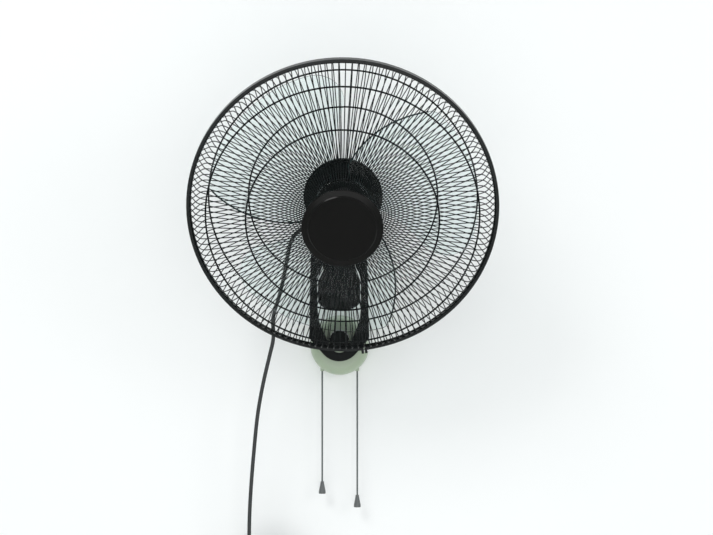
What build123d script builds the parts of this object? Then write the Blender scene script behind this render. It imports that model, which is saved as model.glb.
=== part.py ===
from build123d import *
from math import cos, pi, radians, sin, sqrt, tan
import os

# A wall mounted oscillating fan. A round base on the wall carries a black fork arm; the fork holds
# a barrel that tilts; the barrel holds the head, which pans on a spindle; three clear blades turn
# in a wire guard. Two pull cords hang from the base. All sizes are in millimetres. The wall is the
# plane Y = 0, the fan faces -Y, and the origin is the middle of the wall plate's back.
os.makedirs("parts", exist_ok=True)

# ---------------------------------------------------------------- fits and fasteners
running_gap = 0.05  # radial gap of a shaft in its bush
moving_gap = 0.3  # between curved faces that pass each other
seat_gap = 0.1  # between fixed faces that meet
screw_slot = 0.8  # width and depth of a screw's driving slot

# ---------------------------------------------------------------- wall base
plate_radius = 41.0
plate_thickness = 2.0
wall_hole_radius = 2.6
wall_hole_spacing = 44.0
tab_length = 14.0
tab_width = 12.0
tab_thickness = 2.0
tab_screw_out = 9.0
tab_screw_radius = 1.5
post_radius = 15.0
post_wall = 3.0
post_end = 4.0
base_radius = 47.5
base_front_radius = 44.5
base_depth = 56.0
base_wall = 2.2
base_round = 14.0
terminal_size = (26.0, 10.0, 14.0)
terminal_height = 33.5

# ---------------------------------------------------------------- pull switches and pull cords
pull_x = 27.8
pull_out = 24.0
switch_width = 15.0
switch_depth = 32.0
switch_low = -24.0
switch_high = -2.0
slider_radius = 3.0
slider_length = 12.0
slider_top = -7.0
pull_travel = 12.0
eyelet_radius = 3.0
eyelet_low = -40.0
eyelet_high = -33.0
pull_cord_radius = 1.3
left_knob_top = -215.5
right_knob_top = -237.0
bell_radius = 5.5
bell_length = 19.0
bell_neck = 2.6

# ---------------------------------------------------------------- fork arm
pivot_out = 123.5
pivot_height = 132.2
fork_half_width = 42.5  # at the ears
fork_foot_half = 46.4
fork_foot_height = 14.0
foot_height = 12.0  # of the foot's centre above the plate's
foot_radius = 33.5
foot_thickness = 24.5
window_sill = 5.0
window_sill_half = 17.0
window_cheek = 42.0  # where the sloping sides of the window end
window_top = 110.0  # where the space between the legs starts to narrow to the ears
ear_low = 125.0
ear_radius = 13.0
ear_head_recess = 3.2
leg_depth = 24.5
leg_wall = 4.6  # both walls of a leg's channel together
clamp_radius = 4.0
clamp_head_flats = 13.0
clamp_head_height = 6.0
clamp_reach = 93.0  # of the bolt, out from the wall
knob_radius = 15.0
knob_depth = 17.0
knob_flutes = 20
knob_boss_radius = 12.5
knob_play = 0.6  # round the knob
key_radius = 15.5  # of the crescent key's lower edge
key_height = 7.2  # of that edge's centre
key_half = 11.4
key_gap = 0.35  # between the key and its slot in the foot
key_recess = 1.5  # of the key's end behind the foot's front

# ---------------------------------------------------------------- tilting barrel and swing drive
head_tilt = 23.4  # downward tilt of the head as stored, degrees
pivot_radius = 5.0
pivot_thread_radius = 4.0
pivot_head_radius = 8.2
pivot_boss_radius = 11.0
barrel_radius = 32.5
barrel_waist_radius = 24.0
barrel_low = -62.0
barrel_flare = -32.0  # where the barrel reaches its full width
barrel_waist = -14.0
barrel_shoulder = 14.0
barrel_wall = 2.5
fork_play = 0.9  # between the barrel and each leg
neck_radius = 17.0
neck_shoulder = 34.0
neck_top = 66.0
cavity_top = -20.0
cap_thickness = 6.0
spindle_radius = 6.0
spindle_bore = 3.5
bush_wall = 3.0
bush_low = 30.0
crank_offset = 12.5  # of the crank's axis behind the pan axis
crank_throw = 8.0
crank_radius = 11.0
crank_thickness = 3.0
crank_pin_radius = 1.8
crank_pin_play = 0.5  # under the lever's hub
lever_thickness = 2.5
lever_width = 14.0
lever_reach = 24.5
swing_motor_space = 5.5  # between the swing motor and the barrel's wall
swing_motor_height = 20.0
swing_shaft_radius = 3.0

# ---------------------------------------------------------------- head
motor_rise = 126.0  # of the motor's axis above the tilt axis, along the pan axis
pan_axis_back = 105.0  # of the pan axis behind the rim of the guard
head_offset = 7.0  # of the motor's axis to the right of the pan axis
cover_radius = 56.0
cover_wall = 2.4
cover_front = -55.2
cover_joint = -64.0
cover_back = -130.0
cover_back_radius = 44.0
cover_round = 18.0
guard_neck_radius = 16.0
guard_neck_bore = 11.5
guard_neck_front = -43.0
guard_nut_radius = 55.0
guard_nut_thickness = 3.2
guard_plate_thickness = 1.4
bell_housing_radius = 36.5
bell_wall = 1.5
stator_radius = bell_housing_radius - bell_wall
stator_bore = 21.4
stator_front = -72.0
stator_back = -93.0
stator_slots = 12
front_bell_face = -60.0
winding_front = 7.0  # length of the end windings
winding_back = 6.5
rear_bell_face = -104.0
bearing_radius = 8.0
rotor_gap = 0.3
shaft_radius = 4.0
shaft_front = -6.0
bracket_half = 13.0
shelf_shift = 4.0  # of the bracket's shelf to the right of the pan axis
bracket_top = 82.0  # above the tilt axis, like the other heights on the pan axis
bracket_thickness = 4.0
bracket_web_front = -111.0
boss_radius = 11.0

# ---------------------------------------------------------------- guard
guard_wires = 144
wire_radius = 0.7
ring_radius = 1.2
rim_radius = 218.5  # centre line of the rim rings
rim_wire_radius = 1.8
rim_offset = 2.0  # of each rim ring from the rim plane
band_half_width = 5.2
band_wall = 1.0
band_radius = rim_radius + rim_wire_radius + band_wall + 1.7
shoulder_inset = 13.5  # of the wires' shoulders inside the rim
front_shoulder = (rim_radius - shoulder_inset, 33.5)  # radius and distance in front of the rim
front_hub = (58.0, 68.2)
rear_shoulder = (rim_radius - shoulder_inset, -40.5)
rear_bend = (146.0, -52.3)
wire_end_radius = 49.5
rear_hub = (wire_end_radius, cover_front + guard_plate_thickness + wire_radius + 0.05)
shoulder_round = 18.0
bend_round = 40.0
hub_round = 5.0
front_rings = (136.1, 193.4)
rear_rings = (137.8, 195.4)
badge_radius = 57.0
badge_thickness = 2.6
badge_border = 8.4  # of the low ring round the raised field
badge_border_rise = 0.7
badge_step_width = 1.5
badge_step_rise = 1.4
badge_plate_radius = 56.0
badge_screw_circle = 42.0

# ---------------------------------------------------------------- blades
blade_count = 3
blade_tip_radius = rim_radius - 22.5
blade_thickness = 2.4
hub_radius = 40.0
hub_front = -16.0
hub_back = -46.0
hub_wall = 2.6
hub_boss_radius = 9.0
spinner_radius = 14.0
spinner_length = 15.0
drive_pin_radius = 1.5
drive_pin_length = 22.0
drive_pin_at = -38.0

# ---------------------------------------------------------------- mains lead
cord_radius = 3.0
gland_rise = 55.5  # of the gland above the tilt axis, along the pan axis
gland_back = 8.0  # behind the pan axis
gland_start = 12.2  # to the left of the pan axis
gland_length = 21.4
gland_shank = 6.0
gland_radius = 6.4
coil_radius = 42.0  # of the first half turn
coil_pitch = 6.5
coil_half_turns = 6  # in the first layer
plug_size = (33.0, 15.0, 34.0)
plug_pin_radius = 2.4
plug_pin_length = 19.0
plug_pin_spacing = 19.0
relief_length = 24.0
tie_wall = 1.2
tie_width = 5.0
tail_length = 31.0

BASE = (Align.CENTER, Align.CENTER, Align.MIN)

# ---------------------------------------------------------------- where things stand
tilt = radians(head_tilt)
forward = Vector(0, -cos(tilt), -sin(tilt))
upward = Vector(0, -sin(tilt), cos(tilt))
right = Vector(1, 0, 0)
pivot = Vector(0, -pivot_out, pivot_height)
hub_point = pivot + upward * motor_rise + forward * pan_axis_back + right * head_offset

wall = Plane.XZ  # its normal points out from the wall
wall_cut = Plane(origin=(0, 0, 0), x_dir=(0, -1, 0), z_dir=(-1, 0, 0))
wall_axis = Axis((0, 0, 0), (0, -1, 0))
neck = Plane(origin=pivot, x_dir=right, z_dir=upward)
neck_cut = Plane(origin=pivot, x_dir=right, z_dir=forward)
pan_axis = Axis(pivot, upward)
head = Plane(origin=hub_point, x_dir=right, z_dir=forward)
head_cut = Plane(origin=hub_point, x_dir=forward, z_dir=-right)
spin_axis = Axis(hub_point, forward)


def shifted(plane, x=0.0, y=0.0, z=0.0):
    """The plane moved along its own directions."""
    return Plane(origin=plane.from_local_coords((x, y, z)), x_dir=plane.x_dir, z_dir=plane.z_dir)


def facing(point, direction):
    """A plane at the point, whose normal is the direction."""
    return Plane(origin=point, z_dir=direction)


def outline(plane, points):
    """A closed straight-sided face on the plane."""
    with BuildSketch(plane) as face:
        with BuildLine():
            Polyline(*points, close=True)
        make_face()
    return face.sketch


def rounded(plane, points, radii):
    """A face on the plane, with a rounded corner at each point but the first and the last."""
    with BuildSketch(plane) as face:
        with BuildLine():
            edge = FilletPolyline(*points, radius=radii)
            Line(edge @ 1, edge @ 0)
        make_face()
    return face.sketch


def bar(at, radius, height, mode=Mode.ADD):
    """A round bar, or a round hole, that stands on the plane."""
    with Locations(at):
        Cylinder(radius, height, align=BASE, mode=mode)


def block(at, size, mode=Mode.ADD):
    """A box that stands on the plane."""
    with Locations(at):
        Box(*size, align=BASE, mode=mode)


def hexagon(at, flats):
    """The face of a hexagon head, measured across its flats."""
    with BuildSketch(at) as face:
        RegularPolygon(flats / 2, 6, major_radius=False)
    return face.sketch


def screw(seat, head_radius, head_height, shank_radius, shank_length):
    """A slotted screw. Its head stands on the seat and its shank goes down from it."""
    bar(seat, head_radius, head_height)
    bar(seat.offset(-shank_length), shank_radius, shank_length)
    slot_floor = seat.offset(head_height - screw_slot)
    block(slot_floor, (screw_slot, 2 * head_radius, screw_slot), mode=Mode.SUBTRACT)


# ================================================================ wall base
post_length = base_depth + 0.4
post_base = shifted(wall, y=foot_height)
foot_back = post_length
foot_front = foot_back + foot_thickness


def crescent(gap):
    """The crescent below the knob that keeps the arm from turning, less a gap all round."""
    with BuildSketch(wall) as face:
        with Locations((0, key_height)):
            Circle(key_radius - gap)
        with Locations((0, foot_height)):
            Circle(knob_radius + knob_play + gap, mode=Mode.SUBTRACT)
        Rectangle(2 * (key_half - gap), 4 * key_radius, mode=Mode.INTERSECT)
    return face.sketch


with BuildPart() as wall_plate:
    bar(wall, plate_radius, plate_thickness)
    bar(post_base, post_radius, post_length)
    bar(post_base, post_radius - post_wall, post_length - post_end, mode=Mode.SUBTRACT)
    bar(post_base, clamp_radius + seat_gap, post_length, mode=Mode.SUBTRACT)
    with Locations(wall):
        with GridLocations(wall_hole_spacing, wall_hole_spacing, 2, 2):
            Cylinder(wall_hole_radius, plate_thickness, align=BASE, mode=Mode.SUBTRACT)
    for side in (-1, 1):
        tab = shifted(wall, x=side * (plate_radius - tab_thickness / 2))
        block(tab, (tab_thickness, tab_width, tab_length))
        tab_hole = facing((side * (plate_radius + 1), -tab_screw_out, 0), (-side, 0, 0))
        bar(tab_hole, tab_screw_radius, 3 * tab_thickness, mode=Mode.SUBTRACT)
wall_plate.part.label = "wall_plate"
export_step(wall_plate.part, "parts/wall_plate.step")

base_screw_head = 3.0
base_screw_head_height = 1.6
base_screw_seat = base_radius - base_screw_head_height

with BuildPart() as base_housing:
    base_profile = outline(
        wall_cut,
        [(seat_gap, 0), (seat_gap, base_radius), (base_depth, base_front_radius), (base_depth, 0)],
    )
    revolve(base_profile, axis=wall_axis)
    front_edge = base_housing.edges().filter_by(GeomType.CIRCLE).sort_by(Axis.Y)[0]
    fillet(front_edge, base_round)
    offset(amount=-base_wall, openings=base_housing.faces().sort_by(Axis.Y)[-1])
    key_root = base_depth - base_wall / 2
    key_face = crescent(key_gap).moved(Location((0, -key_root, 0)))
    extrude(key_face, amount=foot_front - key_recess - key_root)
    bar(post_base, post_radius + seat_gap, base_depth + 1, mode=Mode.SUBTRACT)
    for side in (-1, 1):
        spot_face = facing((side * base_screw_seat, -tab_screw_out, 0), (side, 0, 0))
        bar(spot_face, base_screw_head + seat_gap, 2 * base_wall, mode=Mode.SUBTRACT)
        bar(spot_face.offset(-4), tab_screw_radius + seat_gap, 5, mode=Mode.SUBTRACT)
        eyelet_hole = facing((side * pull_x, -pull_out, eyelet_low - 1), (0, 0, 1))
        bar(eyelet_hole, eyelet_radius, eyelet_high - eyelet_low + 1, mode=Mode.SUBTRACT)
base_housing.part.label = "base_housing"
export_step(base_housing.part, "parts/base_housing.step")

with BuildPart() as base_screws:
    for side in (-1, 1):
        seat = facing((side * (base_screw_seat + 0.05), -tab_screw_out, 0), (side, 0, 0))
        screw(seat, base_screw_head, base_screw_head_height, tab_screw_radius - 0.05, 8)
base_screws.part.label = "base_screws"
export_step(base_screws.part, "parts/base_screws.step")

with BuildPart() as terminal_block:
    terminal_seat = shifted(wall, y=terminal_height, z=plate_thickness)
    block(terminal_seat, terminal_size)
    with Locations(terminal_seat.offset(terminal_size[2] - 5)):
        with GridLocations(terminal_size[0] / 4, terminal_size[1] / 2, 4, 2):
            Cylinder(1.6, 5, align=BASE, mode=Mode.SUBTRACT)
terminal_block.part.label = "terminal_block"
export_step(terminal_block.part, "parts/terminal_block.step")

with BuildPart() as cord_eyelets:
    for side in (-1, 1):
        eyelet = facing((side * pull_x, -pull_out, eyelet_low), (0, 0, 1))
        bar(eyelet, eyelet_radius, eyelet_high - eyelet_low)
        bar(eyelet, pull_cord_radius + moving_gap, eyelet_high - eyelet_low, mode=Mode.SUBTRACT)
cord_eyelets.part.label = "cord_eyelets"
export_step(cord_eyelets.part, "parts/cord_eyelets.step")


def pull_switch(side):
    """A pull switch on the wall plate, with the bore that its slider runs in."""
    height = switch_high - switch_low
    middle = (switch_high + switch_low) / 2
    seat = shifted(wall, x=side * pull_x, y=middle, z=plate_thickness)
    block(seat, (switch_width, height, switch_depth))
    bore = facing((side * pull_x, -pull_out, switch_low), (0, 0, 1))
    bore_depth = slider_top - switch_low + 1
    bar(bore, slider_radius + running_gap, bore_depth, mode=Mode.SUBTRACT)


with BuildPart() as speed_switch:
    pull_switch(-1)
speed_switch.part.label = "speed_switch"
export_step(speed_switch.part, "parts/speed_switch.step")

with BuildPart() as swing_switch:
    pull_switch(1)
swing_switch.part.label = "swing_switch"
export_step(swing_switch.part, "parts/swing_switch.step")


# ================================================================ pull cords
slider_low = slider_top - slider_length


def pull_slider(side):
    """The slider that the cord is knotted into."""
    foot = facing((side * pull_x, -pull_out, slider_low), (0, 0, 1))
    bar(foot, slider_radius, slider_length)
    bar(foot, pull_cord_radius, 4, mode=Mode.SUBTRACT)


def pull_cord(side, knob_top):
    """The straight cord from the slider to the knob."""
    foot = facing((side * pull_x, -pull_out, knob_top), (0, 0, 1))
    bar(foot, pull_cord_radius, slider_low - knob_top)


def bell_knob(side, knob_top):
    """The turned bell at the cord's end, wide at its foot."""
    cut = Plane(origin=(side * pull_x, -pull_out, knob_top), x_dir=(1, 0, 0), z_dir=(0, -1, 0))
    with BuildSketch(cut) as profile:
        with BuildLine():
            top = Line((0, 0), (bell_neck, 0))
            flare = Spline(
                top @ 1,
                (bell_radius, -bell_length + 3),
                tangents=((0.1, -1), (0.15, -1)),
            )
            foot = Line(flare @ 1, (bell_radius, -bell_length))
            floor = Line(foot @ 1, (0, -bell_length))
            Line(floor @ 1, (0, 0))
        make_face()
    revolve(profile.sketch, axis=Axis(cut.origin, (0, 0, 1)))


with BuildPart() as pull_slider_left:
    pull_slider(-1)
pull_slider_left.part.label = "pull_slider_left"
export_step(pull_slider_left.part, "parts/pull_slider_left.step")

with BuildPart() as pull_slider_right:
    pull_slider(1)
pull_slider_right.part.label = "pull_slider_right"
export_step(pull_slider_right.part, "parts/pull_slider_right.step")

with BuildPart() as pull_cord_left:
    pull_cord(-1, left_knob_top)
pull_cord_left.part.label = "pull_cord_left"
export_step(pull_cord_left.part, "parts/pull_cord_left.step")

with BuildPart() as pull_cord_right:
    pull_cord(1, right_knob_top)
pull_cord_right.part.label = "pull_cord_right"
export_step(pull_cord_right.part, "parts/pull_cord_right.step")

with BuildPart() as pull_knob_left:
    bell_knob(-1, left_knob_top)
pull_knob_left.part.label = "pull_knob_left"
export_step(pull_knob_left.part, "parts/pull_knob_left.step")

with BuildPart() as pull_knob_right:
    bell_knob(1, right_knob_top)
pull_knob_right.part.label = "pull_knob_right"
export_step(pull_knob_right.part, "parts/pull_knob_right.step")


# ================================================================ fork arm
foot_low = foot_height - foot_radius
ear_top = pivot_height + ear_radius
fork_gap = barrel_waist_radius + fork_play  # half of the space between the ears
fork_width = fork_half_width - fork_gap  # of each ear
window_half = barrel_radius + fork_play
foot_side = foot_radius * sqrt(0.5)

with BuildSketch(wall) as arm_front:
    with BuildLine():
        Polyline(
            (foot_side, foot_height - foot_side),
            (fork_foot_half, fork_foot_height),
            (fork_half_width, ear_top),
            (-fork_half_width, ear_top),
            (-fork_foot_half, fork_foot_height),
            (-foot_side, foot_height - foot_side),
        )
        ThreePointArc(
            (-foot_side, foot_height - foot_side), (0, foot_low), (foot_side, foot_height - foot_side)
        )
    make_face()
    fillet(arm_front.vertices().group_by(Axis.Y)[-2], 12)
    with BuildLine():
        cheek = FilletPolyline(
            (0, window_sill),
            (window_sill_half, window_sill),
            (window_half - 1.8, window_cheek),
            (window_half, window_cheek + 20),
            (window_half, window_top),
            (fork_gap, ear_low),
            (fork_gap, ear_top + 1),
            (0, ear_top + 1),
            radius=[5, 30, 60, 14, 12, 0],
        )
        mirror(cheek, about=Plane.YZ)
    make_face(mode=Mode.SUBTRACT)
    with Locations((0, foot_height)):
        Circle(knob_boss_radius)


def leg_side(back, front):
    """The arm's outline from the side, between a back edge and a front edge."""
    top = pivot_height - 8
    with BuildSketch(Plane.YZ) as face:
        with BuildLine():
            low_back = (-foot_back + back, foot_low - 1)
            low_front = (-foot_front + front, foot_low - 1)
            rise_back = Line(low_back, (-foot_back + back, fork_foot_height))
            rear = Spline(
                rise_back @ 1,
                (-pivot_out + leg_depth / 2 + back, top),
                tangents=((-0.55, 1), (-0.25, 1)),
            )
            cross = Line(rear @ 1, (-pivot_out - leg_depth / 2 + front, top))
            fore = Spline(
                cross @ 1,
                (-foot_front + front, fork_foot_height - 10),
                tangents=((0.25, -1), (0.45, -1)),
            )
            Polyline(fore @ 1, low_front, low_back)
        make_face()
    return face.sketch


channel_low = 24.0
channel_width = fork_half_width - window_half - leg_wall
channel_middle = (fork_half_width + 1 + window_half) / 2

with BuildPart() as leg_channels:
    with BuildSketch(wall) as strips:
        for side in (-1, 1):
            with Locations((side * channel_middle, (window_top + channel_low) / 2)):
                Rectangle(channel_width, window_top - channel_low)
    extrude(strips.sketch, amount=pivot_out + 30)
    extrude(leg_side(12, leg_wall), amount=60, both=True, mode=Mode.INTERSECT)

with BuildPart() as arm:
    extrude(arm_front.sketch, amount=pivot_out + 30)
    with BuildSketch(Plane.YZ) as ears:
        with Locations((-pivot_out, pivot_height)):
            Circle(ear_radius)
    arm_side = leg_side(0, 0) + ears.sketch
    extrude(arm_side, amount=60, both=True, mode=Mode.INTERSECT)
    add(leg_channels.part, mode=Mode.SUBTRACT)
    for side in (-1, 1):
        ear_bore = facing((side * (fork_gap - 1), -pivot_out, pivot_height), (side, 0, 0))
        bar(ear_bore, pivot_radius + running_gap, fork_width + 3, mode=Mode.SUBTRACT)
        recess = ear_bore.offset(fork_width + 1 - ear_head_recess)
        bar(recess, pivot_head_radius + moving_gap, 6, mode=Mode.SUBTRACT)
    knob_seat = shifted(wall, y=foot_height, z=foot_front - 1)
    bar(knob_seat, knob_radius + 2, 20, mode=Mode.SUBTRACT)
    bar(post_base, clamp_radius + seat_gap, foot_front, mode=Mode.SUBTRACT)
    extrude(crescent(0), amount=foot_front + 1, mode=Mode.SUBTRACT)
arm.part.label = "arm"
export_step(arm.part, "parts/arm.step")

with BuildPart() as clamp_bolt:
    head_seat = post_base.offset(post_length - post_end - seat_gap)
    extrude(hexagon(head_seat.offset(-clamp_head_height), clamp_head_flats), amount=clamp_head_height)
    bar(head_seat, clamp_radius, clamp_reach - post_length + post_end)
clamp_bolt.part.label = "clamp_bolt"
export_step(clamp_bolt.part, "parts/clamp_bolt.step")

arm_knob_back = foot_front + 0.2

with BuildPart() as arm_knob:
    knob_seat = post_base.offset(arm_knob_back)
    bar(knob_seat, knob_radius, knob_depth)
    front_rim = arm_knob.edges().filter_by(GeomType.CIRCLE).sort_by(Axis.Y)[0]
    fillet(front_rim, 2.5)
    with Locations(knob_seat):
        with PolarLocations(knob_radius + 0.7, knob_flutes):
            Cylinder(1.4, knob_depth, align=BASE, mode=Mode.SUBTRACT)
    face_plane = knob_seat.offset(knob_depth - 4)
    for side in (-1, 1):
        scoop = shifted(face_plane, x=side * 9.0)
        with BuildSketch(scoop) as scoop_face:
            SlotOverall(19, 9, rotation=90)
        extrude(scoop_face.sketch, amount=6, mode=Mode.SUBTRACT)
    bore_length = clamp_reach - arm_knob_back + 0.5
    bar(knob_seat, clamp_radius + running_gap, bore_length, mode=Mode.SUBTRACT)
arm_knob.part.label = "arm_knob"
export_step(arm_knob.part, "parts/arm_knob.step")


# ================================================================ tilting barrel
bush_radius = spindle_radius + running_gap + bush_wall
cavity_radius = barrel_radius - barrel_wall
swing_motor_radius = cavity_radius - swing_motor_space
flare_slope = (barrel_radius - barrel_waist_radius) / (barrel_waist - barrel_flare)
cavity_top_radius = barrel_waist_radius + flare_slope * (barrel_waist - cavity_top) - barrel_wall - 0.3
cavity_flare = barrel_flare + 1.0
cap_top = barrel_low - seat_gap
swing_motor_top = -36.0
swing_motor_low = swing_motor_top - swing_motor_height
crank_top = swing_motor_top + 1.0 + crank_thickness
lever_low = crank_top + 1.5
gland_point = pivot + upward * gland_rise - forward * gland_back
gland_seat = Plane(origin=gland_point, x_dir=upward, z_dir=-right)

with BuildPart() as swing_barrel:
    barrel_corners = [
        (0, neck_top),
        (neck_radius, neck_top),
        (neck_radius, neck_shoulder),
        (barrel_waist_radius, barrel_shoulder),
        (barrel_waist_radius, barrel_waist),
        (barrel_radius, barrel_flare),
        (barrel_radius, barrel_low),
        (0, barrel_low),
    ]
    revolve(rounded(neck_cut, barrel_corners, [1.5, 12, 8, 14, 14, 0.5]), axis=pan_axis)
    for side in (-1, 1):
        bar(facing(pivot, (side, 0, 0)), pivot_boss_radius, fork_gap - 0.5)
    hollow = [
        (0, neck_top + 1),
        (bush_radius, neck_top + 1),
        (bush_radius, bush_low),
        (spindle_radius + 0.6, bush_low),
        (spindle_radius + 0.6, cavity_top),
        (cavity_top_radius, cavity_top),
        (cavity_radius, cavity_flare),
        (cavity_radius, barrel_low - 1),
        (0, barrel_low - 1),
    ]
    revolve(outline(neck_cut, hollow), axis=pan_axis, mode=Mode.SUBTRACT)
    for side in (-1, 1):
        thread = facing(pivot + right * side * 12, (side, 0, 0))
        bar(thread, pivot_thread_radius, barrel_radius, mode=Mode.SUBTRACT)
    bar(gland_seat.offset(gland_start), gland_radius, neck_radius, mode=Mode.SUBTRACT)
swing_barrel.part.label = "swing_barrel"
export_step(swing_barrel.part, "parts/swing_barrel.step")

with BuildPart() as barrel_cap:
    cap_low = cap_top - cap_thickness
    cap_corners = [
        (0, cap_top + 5),
        (cavity_radius - seat_gap, cap_top + 5),
        (cavity_radius - seat_gap, cap_top),
        (barrel_radius, cap_top),
        (barrel_radius, cap_low),
        (0, cap_low),
    ]
    revolve(rounded(neck_cut, cap_corners, [0.5, 0, 0.5, 5]), axis=pan_axis)
    with Locations(neck.offset(cap_top + 4)):
        with PolarLocations(16, 3):
            Cylinder(3, swing_motor_low - cap_top - 4, align=BASE)
barrel_cap.part.label = "barrel_cap"
export_step(barrel_cap.part, "parts/barrel_cap.step")

with BuildPart() as swing_motor:
    crank_line = shifted(neck, y=crank_offset)
    bar(neck.offset(swing_motor_low), swing_motor_radius, swing_motor_height)
    fillet(swing_motor.edges().filter_by(GeomType.CIRCLE), 1.5)
    socket = crank_line.offset(swing_motor_top - 6)
    bar(socket, swing_shaft_radius + running_gap, 7, mode=Mode.SUBTRACT)
swing_motor.part.label = "swing_motor"
export_step(swing_motor.part, "parts/swing_motor.step")

with BuildPart() as swing_crank:
    bar(crank_line.offset(swing_motor_top - 5.5), swing_shaft_radius, 7)
    bar(crank_line.offset(crank_top - crank_thickness), crank_radius, crank_thickness)
    pin_foot = shifted(crank_line, y=crank_throw, z=crank_top)
    bar(pin_foot, crank_pin_radius, lever_low + lever_thickness - crank_pin_play - crank_top)
swing_crank.part.label = "swing_crank"
export_step(swing_crank.part, "parts/swing_crank.step")

with BuildPart() as swing_lever:
    hub_low = lever_low + lever_thickness
    with BuildSketch(neck.offset(lever_low)) as lever_face:
        with Locations((0, lever_reach / 2)):
            Rectangle(lever_width, lever_reach)
        Circle(spindle_radius + bush_wall)
        fillet(lever_face.vertices().group_by(Axis.Y)[0], 1)
        with Locations((0, crank_offset)):
            SlotOverall(20, 2 * (crank_pin_radius + 1.6), rotation=90, mode=Mode.SUBTRACT)
    extrude(lever_face.sketch, amount=lever_thickness)
    bar(neck.offset(hub_low), spindle_radius + bush_wall, 5)
    bar(neck.offset(hub_low + 1), spindle_radius, 5, mode=Mode.SUBTRACT)
swing_lever.part.label = "swing_lever"
export_step(swing_lever.part, "parts/swing_lever.step")

washer_top = neck_top + 1

with BuildPart() as thrust_washer:
    bar(neck.offset(neck_top), neck_radius - 1, washer_top - neck_top)
    bar(neck.offset(neck_top), spindle_radius + moving_gap, 2, mode=Mode.SUBTRACT)
thrust_washer.part.label = "thrust_washer"
export_step(thrust_washer.part, "parts/thrust_washer.step")

with BuildPart() as spindle_bush:
    bar(neck.offset(bush_low), bush_radius, neck_top - bush_low)
    bar(neck.offset(bush_low), spindle_radius + running_gap, neck_top, mode=Mode.SUBTRACT)
spindle_bush.part.label = "spindle_bush"
export_step(spindle_bush.part, "parts/spindle_bush.step")

with BuildPart() as pan_spindle:
    spindle_low = hub_low + 1
    bar(neck.offset(spindle_low), spindle_radius, bracket_top - 2 - spindle_low)
    bar(neck.offset(spindle_low), spindle_bore, bracket_top, mode=Mode.SUBTRACT)
pan_spindle.part.label = "pan_spindle"
export_step(pan_spindle.part, "parts/pan_spindle.step")

pivot_shank = fork_width - ear_head_recess + 0.48

with BuildPart() as tilt_screws:
    for side in (-1, 1):
        head_plane = facing(pivot + right * side * (fork_half_width - ear_head_recess), (side, 0, 0))
        bar(head_plane, pivot_head_radius, 3)
        bar(head_plane.offset(-pivot_shank), pivot_radius, pivot_shank)
        bar(facing(pivot + right * side * 12.5, (side, 0, 0)), pivot_thread_radius - 0.02, 20)
        hexagon_face = hexagon(head_plane.offset(1), 6)
        extrude(hexagon_face, amount=3, mode=Mode.SUBTRACT)
tilt_screws.part.label = "tilt_screws"
export_step(tilt_screws.part, "parts/tilt_screws.step")

with BuildPart() as tilt_washers:
    for side in (-1, 1):
        washer_seat = facing(pivot + right * side * (fork_gap - 0.46), (side, 0, 0))
        bar(washer_seat, pivot_boss_radius - 1, 0.4)
        bar(washer_seat, pivot_radius + seat_gap, 0.4, mode=Mode.SUBTRACT)
tilt_washers.part.label = "tilt_washers"
export_step(tilt_washers.part, "parts/tilt_washers.step")

with BuildPart() as cord_gland:
    bar(gland_seat.offset(gland_start), gland_radius, gland_shank)
    with Locations(gland_seat.offset(gland_start + gland_shank)):
        Cone(gland_radius, cord_radius + 0.6, gland_length - gland_shank, align=BASE)
cord_gland.part.label = "cord_gland"
export_step(cord_gland.part, "parts/cord_gland.step")


# ================================================================ motor in the head
def turn_ring(front, back, outer, inner, mode=Mode.ADD):
    """A ring about the motor's axis. Front and back are distances in front of the guard's rim."""
    bar(head.offset(back), outer, front - back, mode=mode)
    if inner > 0 and mode == Mode.ADD:
        bar(head.offset(back), inner, front - back, mode=Mode.SUBTRACT)


bracket_screw_circle = 11.5
bracket_screw_radius = 1.5
shelf_low = bracket_top - bracket_thickness
shelf_front = stator_front + 6
web_back = bracket_web_front - bracket_thickness
web_top = 8.0  # above the motor's axis

with BuildPart() as motor_bracket:
    bar(neck.offset(washer_top), boss_radius, bracket_top - washer_top)
    shelf_middle = (shelf_front + web_back) / 2 + pan_axis_back
    shelf = shifted(neck, x=shelf_shift, y=-shelf_middle, z=shelf_low)
    block(shelf, (2 * bracket_half, shelf_front - web_back, bracket_thickness))
    web_height = web_top + motor_rise - shelf_low
    web = shifted(head, y=web_top - web_height / 2, z=web_back)
    block(web, (2 * bracket_half, web_height, bracket_thickness))
    bar(neck.offset(washer_top), spindle_radius, bracket_top - 2 - washer_top, mode=Mode.SUBTRACT)
    bar(neck.offset(washer_top), spindle_bore, 30, mode=Mode.SUBTRACT)
    with Locations(head.offset(web_back)):
        with PolarLocations(bracket_screw_circle, 3, start_angle=30):
            Cylinder(bracket_screw_radius, bracket_thickness, align=BASE, mode=Mode.SUBTRACT)
motor_bracket.part.label = "motor_bracket"
export_step(motor_bracket.part, "parts/motor_bracket.step")

front_boss_back = stator_front + 4.5
rear_boss_front = stator_back - 4.5
rear_boss_back = bracket_web_front + seat_gap
shaft_back = bracket_web_front + 1.5
vent_circle = (stator_radius + bearing_radius) / 2 + 2.5
vent_radius = 5.0

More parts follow.
